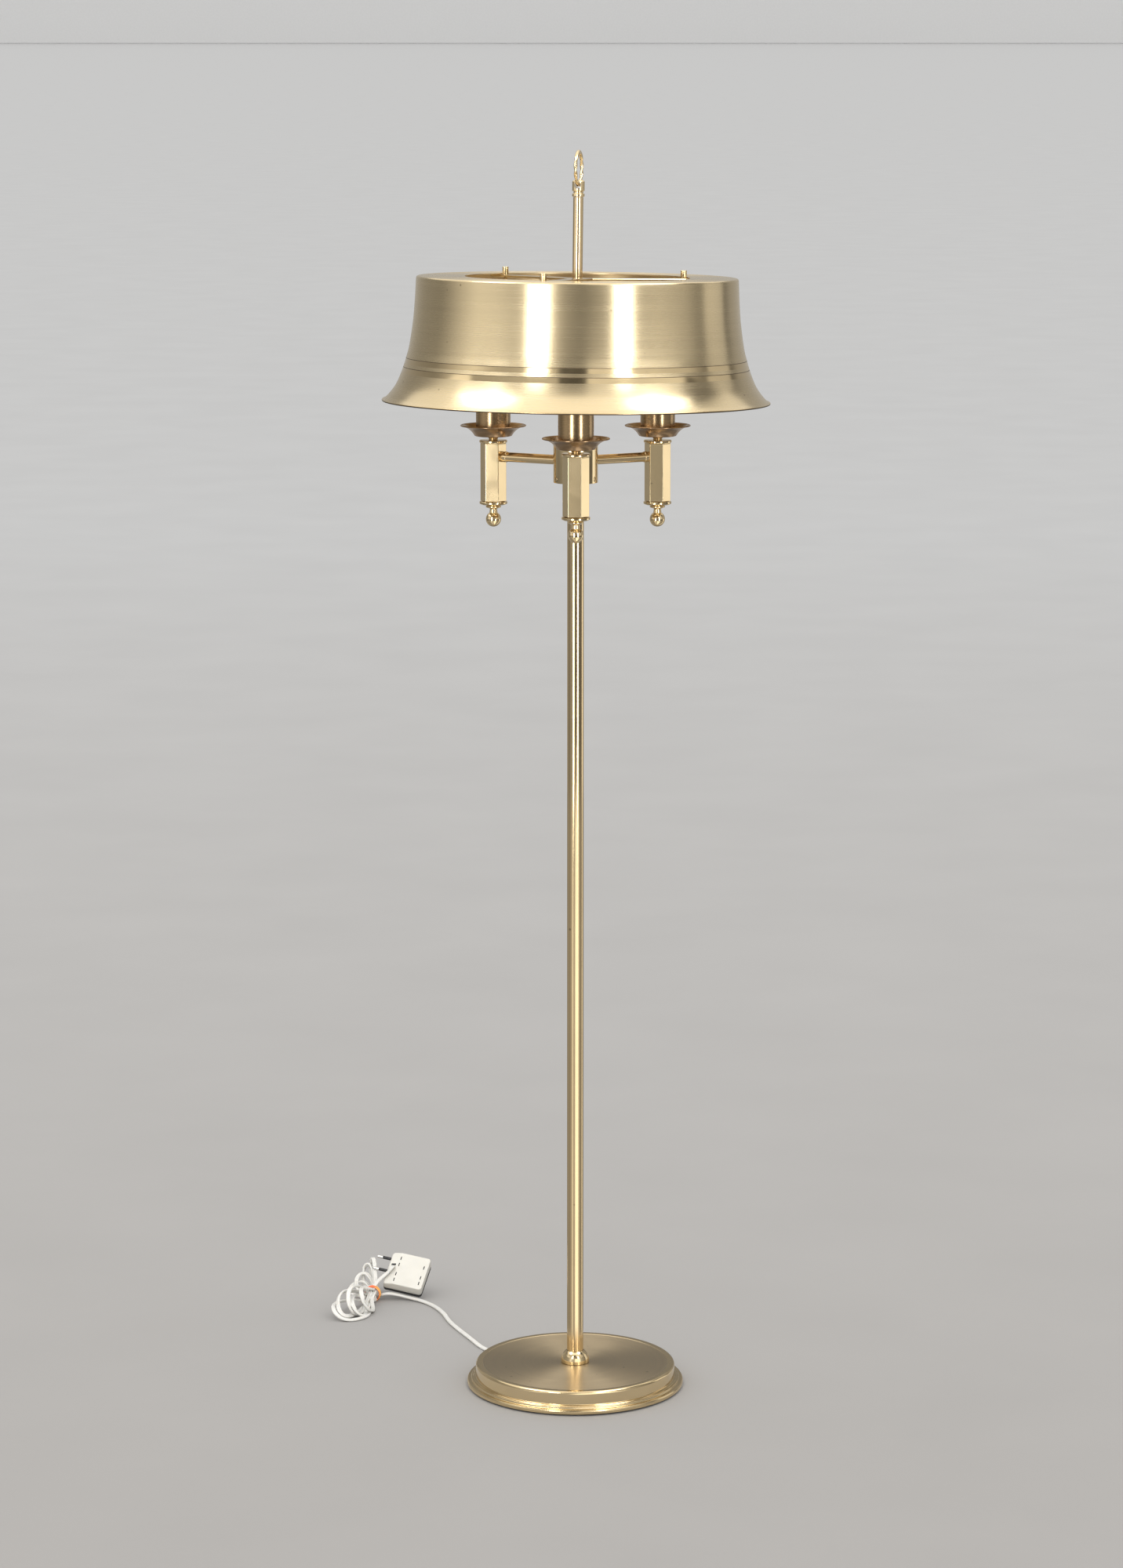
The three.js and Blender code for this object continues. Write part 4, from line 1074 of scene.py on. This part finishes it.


# A spun shell from the opening over the shoulder and down the wall to the rolled lip. Rows of the section
# stand exactly at the borders of the two polished stripes, each with a dark line of painted shade along its
# top.
def makeShade(plan):
    low, high, inner, outer = (value / mm for value in measure("shade", seat, lean))
    base = seat[2] / mm
    top = filleted(((inner, high, 0), (189.6, high, plan["shoulder"]), (190.0, high - 6, 0)), steps=10,
                   ease=0.3)
    wall = evenly([(r, z - base, 0) for r, z in plan["wall"]], 1.6)[:, :2]
    borders = [z - base for upper, lower in plan["stripes"] for z in (upper, upper - plan["line"], lower)]
    heights = np.sort(np.concatenate((wall[:, 1], borders)))[::-1]
    wall = np.stack((np.interp(heights, wall[::-1, 1], wall[::-1, 0]), heights), axis=1)
    bead = plan["bead"]
    a = np.linspace(math.radians(140), math.radians(-60), 12)
    lip = np.stack((outer - bead + bead * np.cos(a), low + bead + bead * np.sin(a)), axis=1)
    line = np.vstack((top[:-1], wall, lip))
    middle = (line[:-1, 1] + line[1:, 1]) / 2 + base
    zoneOf = np.zeros(len(line), int)
    for upper, lower in plan["stripes"]:
        zoneOf[:-1][(middle < upper) & (middle > lower)] = 1
        # the row along each stripe's top is painted dark: shade where a groove would be
        zoneOf[:-1][(middle < upper) & (middle > upper - plan["line"])] = 4
    zoneOf[len(line) - len(lip):] = 2
    # the lower part of the bead is painted dark as the shade under the lip
    zoneOf[:-1][middle < low + base + bead * 1.1] = 4
    section = thickened(line, plan["thickness"]) * mm
    count = len(line)
    # inside, the rows next to the lip are also painted dark as shade, and the rest take the inside brass
    choose = lambda r, s, k: int(zoneOf[k]) if k < count - 1 else 4 if k < count + 6 else 3
    spin("shade_shell", section, [finishes["shadeBrass"], finishes["mirrorBrass"], finishes["rimBrass"],
                                  finishes["lampshadeInsideShaded"], finishes["darkSeat"]],
         "shade_body", seat, lean, plan["segments"], "shade", choose)


# A place function for pieces on the leaning rod: x and y across it and height along it.
def onRod(azimuth=0.0, x=0.0, y=0.0):
    across, over = rodSides
    matrix = np.stack((across, over, lean))
    c, s = math.cos(azimuth), math.sin(azimuth)
    turn = np.array(((c, s, 0), (-s, c, 0), (0, 0, 1)))
    return lambda points: (np.asarray(points, float) @ turn + (x, y, 0)) @ matrix + seat


rodAcross = unit(np.array((1.0, 0, 0)) - lean[0] * lean)
rodSides = (rodAcross, np.cross(lean, rodAcross))
spiderPlan = {"barWidth": 14, "reach": 150, "hub": 16, "corner": 3, "fillet": 5}


# A plate whose three arms run to the studs, and the studs themselves.
def makeSpider(plan):
    low, high, _, _ = measure("shade_spider", seat, lean)
    studAzimuths = []
    for number in (1, 2, 3):
        middle = centreOf(f"shade_stud_{number}") - seat
        studAzimuths.append(math.atan2(middle @ rodSides[1], middle @ rodSides[0]))
    corners = []
    half, hub = plan["barWidth"] / 2, plan["hub"]
    start = math.sqrt(hub ** 2 - half ** 2)
    for azimuth in sorted(studAzimuths):
        turn = np.array(((math.cos(azimuth), math.sin(azimuth)), (-math.sin(azimuth), math.cos(azimuth))))
        corners += list(np.array(((start + 2, -half), (plan["reach"], -half), (plan["reach"], half),
                                  (start + 2, half))) @ turn)
        between = azimuth + math.pi / 3
        corners += [(hub * math.cos(between), hub * math.sin(between))]
    outline = rounded(np.array(corners) * mm, plan["corner"] * mm, steps=6)
    e = 0.35 * mm
    levels = ((5 * mm, low), (2 * e, low), (0.3 * e, low + 0.3 * e), (0, low + e), (0, high - e),
              (0.3 * e, high - 0.3 * e), (2 * e, high), (5 * mm, high))
    prism("spider_plate", outline, levels, onRod(), [finishes["rimBrass"]], "shade_body",
          "shade_spider")
    for number in (1, 2, 3):
        middle = centreOf(f"shade_stud_{number}")
        low, high, _, radius = measure(f"shade_stud_{number}", middle, lean)
        washer = 1.2 * mm
        rise = low + 7.6 * mm
        section = filleted(((0, low, 0), (2 * mm, low, 0.4 * mm), (2 * mm, rise - 1.2 * mm, 0.1 * mm),
                            (radius, rise - 1.2 * mm, 0.2 * mm), (radius, high - washer * 2, 0.2 * mm),
                            (radius - 0.25 * mm, high - washer * 1.8, 0.1 * mm),
                            (radius, high - washer * 1.5, 0.2 * mm), (radius, high, 0.7 * mm), (0, high, 0)))
        spin(f"stud_{number}", section, [finishes["mirrorBrass"]], "shade_body", middle,
             lean, 64, f"shade_stud_{number}")


# The clamp on the rod, and a thumb screw whose edge is knurled: r less 0.3 mm (0.5 + 0.5 cos(32 a)).
def makeCollar():
    low, high, inner, outer = measure("slide_collar", seat, lean)
    clamp = filleted(((inner, low, 0.2 * mm), (10.6 * mm, low, 0.8 * mm),
                      (11 * mm, high - 3.2 * mm, 0.5 * mm),
                      (outer, high - 2.6 * mm, 0.6 * mm), (outer, high, 0.5 * mm), (inner, high, 0.2 * mm)))
    spin("rod_clamp", clamp, [finishes["mirrorBrass"]], "shade_collar", seat, lean, 80,
         "slide_collar")
    hinge = joints["thumb_screw_turn"]
    along, origin = unit(hinge["axis"]), np.array(hinge["pos_m"], float)
    low, high, _, outer = measure("thumb_screw", origin, along)
    head = high - 8 * mm
    section = filleted(((0, low, 0), (2 * mm, low, 0.4 * mm), (2 * mm, head, 0.2 * mm),
                        (outer - 1.2 * mm, head, 0.5 * mm), (outer, head + 1.2 * mm, 0.5 * mm),
                        (outer, high - 1.2 * mm, 0.5 * mm), (outer - 1.2 * mm, high, 0.6 * mm),
                        (3 * mm, high - 0.4 * mm, 0.4 * mm), (0, high - 0.5 * mm, 0)), steps=6)
    rows = np.interp(np.arange(0, len(section) - 1, 0.25), np.arange(len(section)), section[:, 0])
    heights = np.interp(np.arange(0, len(section) - 1, 0.25), np.arange(len(section)), section[:, 1])
    segments, ridges = 192, 32
    across, over = sideways(along)
    angle = np.linspace(0, 2 * math.pi, segments, endpoint=False)
    out = np.cos(angle)[:, None] * across + np.sin(angle)[:, None] * over
    knurled = np.clip((rows - (outer - 0.8 * mm)) / (0.6 * mm), 0, 1)
    size = rows[:, None] - knurled[:, None] * 0.3 * mm * (0.5 + 0.5 * np.cos(ridges * angle))[None]
    grid = origin + heights[1:-1, None, None] * along + size[1:-1, :, None] * out[None]
    ends = origin + np.array((section[0, 1], section[-1, 1]))[:, None] * along
    surface("thumb_knob", grid, [finishes["mirrorBrass"]], "thumb_screw", "thumb_screw",
            ends=ends)


makeShade(shadePlan)
makeSpider(spiderPlan)
makeCollar()
print("shade, spider and clamp ready")


bushNode = centreOf("cord_bush")
bushAzimuth = math.atan2(bushNode[1], bushNode[0])


# A flanged bush in the base's side, where the cord leaves.
def makeBush():
    outward = np.array((math.cos(bushAzimuth), math.sin(bushAzimuth), 0))
    origin = up * bushNode[2]
    low, high, inner, outer = measure("cord_bush", origin, outward)
    flange = low + 5 * mm
    section = filleted(((inner, low, 0.1 * mm), (3.4 * mm, low, 0.2 * mm), (3.4 * mm, flange, 0.1 * mm),
                        (outer, flange + 0.2 * mm, 0.5 * mm), (4.3 * mm, flange + 2 * mm, 0.8 * mm),
                        (3.5 * mm, high, 0.5 * mm), (inner, high, 0.3 * mm)))
    spin("strain_bush", section, [finishes["blackPlastic"]], "lamp_frame", origin, outward,
         48, "cord_bush")


makeBush()
innerFinish = {"base_weight": "castIron", "base_washer": "steel", "base_nut": "steel", "base_nipple": "steel",
               "base_lead": "whiteCord", "post_lead": "whiteCord", "hub_plate": "rimBrass",
               "terminal_block": "porcelain"}
for name, finish in innerFinish.items():
    data = frame["nodes"][name].data
    data.materials.clear()
    data.materials.append(finishes[finish])
print("inner pieces finished")


# the floor's colour near the camera and far off make a painted light gradient; the wall has its own colour
floorPlan = {"half": 850.0, "near": (0.43, 0.413, 0.394), "far": (0.51, 0.508, 0.503),
             "wall": (0.72, 0.717, 0.71), "wallHeight": 120.0}


# Matt floor, painted darker near the camera and paler far off as painted light, and the far wall that it ends
# at.
def makeFloor(plan):
    half = plan["half"]
    mesh = bpy.data.meshes.new("floor")
    corners = [(-half, -half, 0), (half, -half, 0), (half, half, 0), (-half, half, 0)]
    # a far wall closes the view above the horizon
    corners += [(half, half, plan["wallHeight"]), (-half, half, plan["wallHeight"])]
    mesh.from_pydata(corners, [], [(0, 1, 2, 3), (3, 2, 4, 5)])
    material, tree, shader = newMaterial("floorPaint")
    place = node(tree, "ShaderNodeTexCoord").outputs["Object"]
    cloud = node(tree, "ShaderNodeTexNoise", {}, Vector=place, Scale=3.0, Detail=5.0)
    grain = node(tree, "ShaderNodeTexNoise", {}, Vector=place, Scale=260.0, Detail=3.0)
    tone = spread(tree, cloud.outputs["Fac"], 0.3, 0.7, 0.0, 1.0)
    axes = node(tree, "ShaderNodeSeparateXYZ", {}, Vector=place)
    # painted light: the floor's colour pales from near the camera to far off
    paintedDistanceLight = spread(tree, axes.outputs["Y"], -1.0, 9.0, 0.0, 1.0)
    rise = spread(tree, axes.outputs["Z"], 0.1, 0.2, 0.0, 1.0)
    near = mixed(tree, paintedDistanceLight, (*plan["near"], 1), (*plan["far"], 1))
    near = mixed(tree, rise, near, (*plan["wall"], 1))
    patchy = mixed(tree, tone, (1, 1, 1, 1), (0.965, 0.965, 0.965, 1))
    tree.links.new(mixed(tree, 1.0, near, patchy, "MULTIPLY"), shader.inputs["Base Color"])
    relief = node(tree, "ShaderNodeBump", {}, Strength=0.25, Distance=0.3 * mm, Height=grain.outputs["Fac"])
    tree.links.new(relief.outputs["Normal"], shader.inputs["Normal"])
    shader.inputs["Roughness"].default_value = 0.9
    shader.inputs["Specular IOR Level"].default_value = 0.0
    mesh.materials.append(material)
    floor = bpy.data.objects.new("floor", mesh)
    bpy.context.scene.collection.objects.link(floor)


# each light: azimuth from the front towards the right in degrees, distance, height, width, tall, brightness
lightPlan = {
    "left_strip": (-26.3, 2.6, 1.40, 0.54, 2.6, 9.0),
    "right_strip": (31.6, 2.6, 1.40, 0.43, 2.6, 9.0),
    "left_overhead": (-76, 1.85, 3.40, 1.5, 1.1, 5.0),
    "right_overhead": (76, 1.65, 3.55, 1.5, 1.1, 5.0),
}


# A soft box that the floor does not see: power = brightness x pi x width x height.
def makeLight(name, azimuth, distance, height, width, tall, brightness, lit):
    data = bpy.data.lights.new(name, "AREA")
    data.shape, data.size, data.size_y = "RECTANGLE", width, tall
    data.energy = brightness * math.pi * width * tall
    light = bpy.data.objects.new(name, data)
    a = math.radians(azimuth)
    light.location = (distance * math.sin(a), -distance * math.cos(a), height)
    aim = Vector((0, 0, min(height, 1.4))) - light.location
    light.rotation_euler = aim.to_track_quat("-Z", "Y").to_euler()
    light.visible_camera = False
    bpy.context.scene.collection.objects.link(light)
    light.light_linking.receiver_collection = lit


# the studio that polished metal reflects: azimuth from the front towards the right, and brightness
roomPlan = {
    "radius": 2.75, "wallTop": 3.9, "top": 4.3, "ceilingFrom": 2.40, "ceiling": 1.45, "strength": 8.0,
    "world": 1.17,
    "walls": ((-180, 0.50), (-135, 0.30), (-108, 0.26), (-98, 0.42), (-72, 1.00), (-58, 0.92), (-42, 0.66),
              (-18, 0.55), (-8, 0.42), (4, 0.24), (14, 0.36), (36, 0.45), (56, 0.72), (80, 0.60), (92, 0.28),
              (97, 0.20), (99, 0.60), (121, 0.55), (123, 0.12), (134, 0.36), (180, 0.50)),
    "waistFrom": 0.95,
    "waist": ((-180, 0.60), (-140, 0.35), (-100, 0.22), (-80, 0.26), (-60, 0.36), (-38, 0.20), (-33, 0.50),
              (-17.6, 0.55), (-16.6, 0.62), (-14, 0.75), (-13.5, 0.62), (-12.9, 0.12), (-11.8, 0.12),
              (-11.3, 0.62), (-10.5, 0.16), (-6, 0.10), (12, 0.10), (20, 0.26), (38, 0.26), (50, 0.16),
              (85, 0.14), (97, 0.20), (99, 1.40), (121, 1.00), (123, 0.12), (134, 0.36), (180, 0.60)),
    "upper": ((-180, 1.10), (-126, 1.10), (-78, 1.15), (-76, 0.42), (-20, 0.60), (-13, 0.60), (-12, 0.10),
              (7, 0.10), (8, 0.90), (78, 0.90), (80, 0.10), (112, 0.10), (114, 0.95), (180, 1.10)),
    "lowRadius": 1.05, "lowTop": 0.55, "lowFrom": 0.21,
    "low": ((-180, 0.26), (-155, 0.25), (-135, 0.40), (-100, 0.30), (-70, 0.36), (-50, 0.50), (-44, 0.95),
            (-32, 0.95), (-26, 0.45), (-6, 0.50), (4, 1.70), (42, 1.60), (47, 0.55), (70, 0.36), (97, 0.20),
            (99, 0.95), (121, 0.80), (123, 0.16), (135, 0.40), (155, 0.25), (180, 0.26)),
}


# Brightness round the compass, read from the place's azimuth: 0 is the front and right is positive.
def azimuthRamp(tree, levels, strength):
    place = node(tree, "ShaderNodeSeparateXYZ", {}, Vector=node(tree, "ShaderNodeTexCoord").outputs["Object"])
    turn = calc(tree, "ARCTAN2", place.outputs["X"], calc(tree, "MULTIPLY", place.outputs["Y"], -1.0))
    ramp = node(tree, "ShaderNodeValToRGB", {}, Fac=spread(tree, turn, -math.pi, math.pi, 0.0, 1.0))
    stops = ramp.color_ramp.elements
    for i, (azimuth, level) in enumerate(levels):
        stop = stops[0] if i == 0 else stops[-1] if i == len(levels) - 1 else stops.new((azimuth + 180) / 360)
        level = level / strength
        stop.color = (level, level * 0.97, level * 0.91, 1)
    return ramp.outputs["Color"]


# A wall round the lamp, turned from rows of (radius, height), that only reflections see.
def makeDrum(name, rows, colouring, strength):
    segments = 96
    a = np.linspace(0, 2 * math.pi, segments, endpoint=False)
    grid = np.array([np.stack((r * np.cos(a), r * np.sin(a), np.full(segments, z)), axis=1) for r, z in rows])
    i, j = np.meshgrid(np.arange(len(rows) - 1), np.arange(segments), indexing="ij")
    k = (j + 1) % segments
    faces = np.stack((i * segments + j, (i + 1) * segments + j, (i + 1) * segments + k, i * segments + k), -1)
    mesh = bpy.data.meshes.new(name)
    mesh.from_pydata(grid.reshape(-1, 3).tolist(), [], faces.reshape(-1, 4).tolist())
    material = bpy.data.materials.new(name + "Light")
    material.use_nodes = True
    tree = material.node_tree
    tree.nodes.remove(tree.nodes["Principled BSDF"])
    glow = node(tree, "ShaderNodeEmission", {}, Color=colouring(tree), Strength=strength)
    tree.links.new(glow.outputs[0], tree.nodes["Material Output"].inputs["Surface"])
    mesh.materials.append(material)
    drum = bpy.data.objects.new(name, mesh)
    bpy.context.scene.collection.objects.link(drum)
    drum.visible_camera = drum.visible_diffuse = drum.visible_shadow = False
    drum.visible_transmission = drum.visible_volume_scatter = False


# The outer drum has a waist, walls, a stretch above them and an even ceiling. The low one stands closer,
# for what the base and the foot of the post reflect.
def makeRoom(room):
    strength = room["strength"]

    def walls(tree):
        place = node(tree, "ShaderNodeSeparateXYZ", {},
                     Vector=node(tree, "ShaderNodeTexCoord").outputs["Object"])
        above = spread(tree, place.outputs["Z"], room["ceilingFrom"], room["ceilingFrom"] + 0.06, 0.0, 1.0)
        over = spread(tree, place.outputs["Z"], room["wallTop"], room["wallTop"] + 0.1, 0.0, 1.0)
        below = spread(tree, place.outputs["Z"], room["waistFrom"], room["waistFrom"] + 0.08, 0.0, 1.0)
        waist, wall, upper = (azimuthRamp(tree, room[part], strength) for part in ("waist", "walls", "upper"))
        tone = mixed(tree, above, mixed(tree, below, waist, wall), upper)
        level = room["ceiling"] / strength
        return mixed(tree, over, tone, (level, level * 0.97, level * 0.92, 1))

    rim = room["radius"]
    makeDrum("room", ((rim, -0.02), (rim, room["ceilingFrom"]), (rim, room["wallTop"]), (0.02, room["top"])),
             walls, strength)
    rim = room["lowRadius"]
    makeDrum("low_room", ((room["lowFrom"], 0.003), (rim, 0.012), (rim, room["lowTop"])),
             lambda tree: azimuthRamp(tree, room["low"], strength), strength)


# An even white surround.
def makeWorld(brightness):
    world = bpy.data.worlds.new("studio")
    bpy.context.scene.world = world
    world.use_nodes = True
    background = world.node_tree.nodes["Background"]
    background.inputs["Color"].default_value = (1, 1, 1, 1)
    background.inputs["Strength"].default_value = brightness


makeFloor(floorPlan)
unlit = bpy.data.collections.new("not lit by the boxes")
unlit.objects.link(bpy.data.objects["floor"])
unlit.collection_objects[0].light_linking.link_state = "EXCLUDE"
for name, settings in lightPlan.items():
    makeLight(name, *settings, unlit)
makeRoom(roomPlan)
makeWorld(roomPlan["world"])
view = bpy.context.scene.view_settings
view.view_transform, view.look = "Standard", "None"
print("floor and light ready")
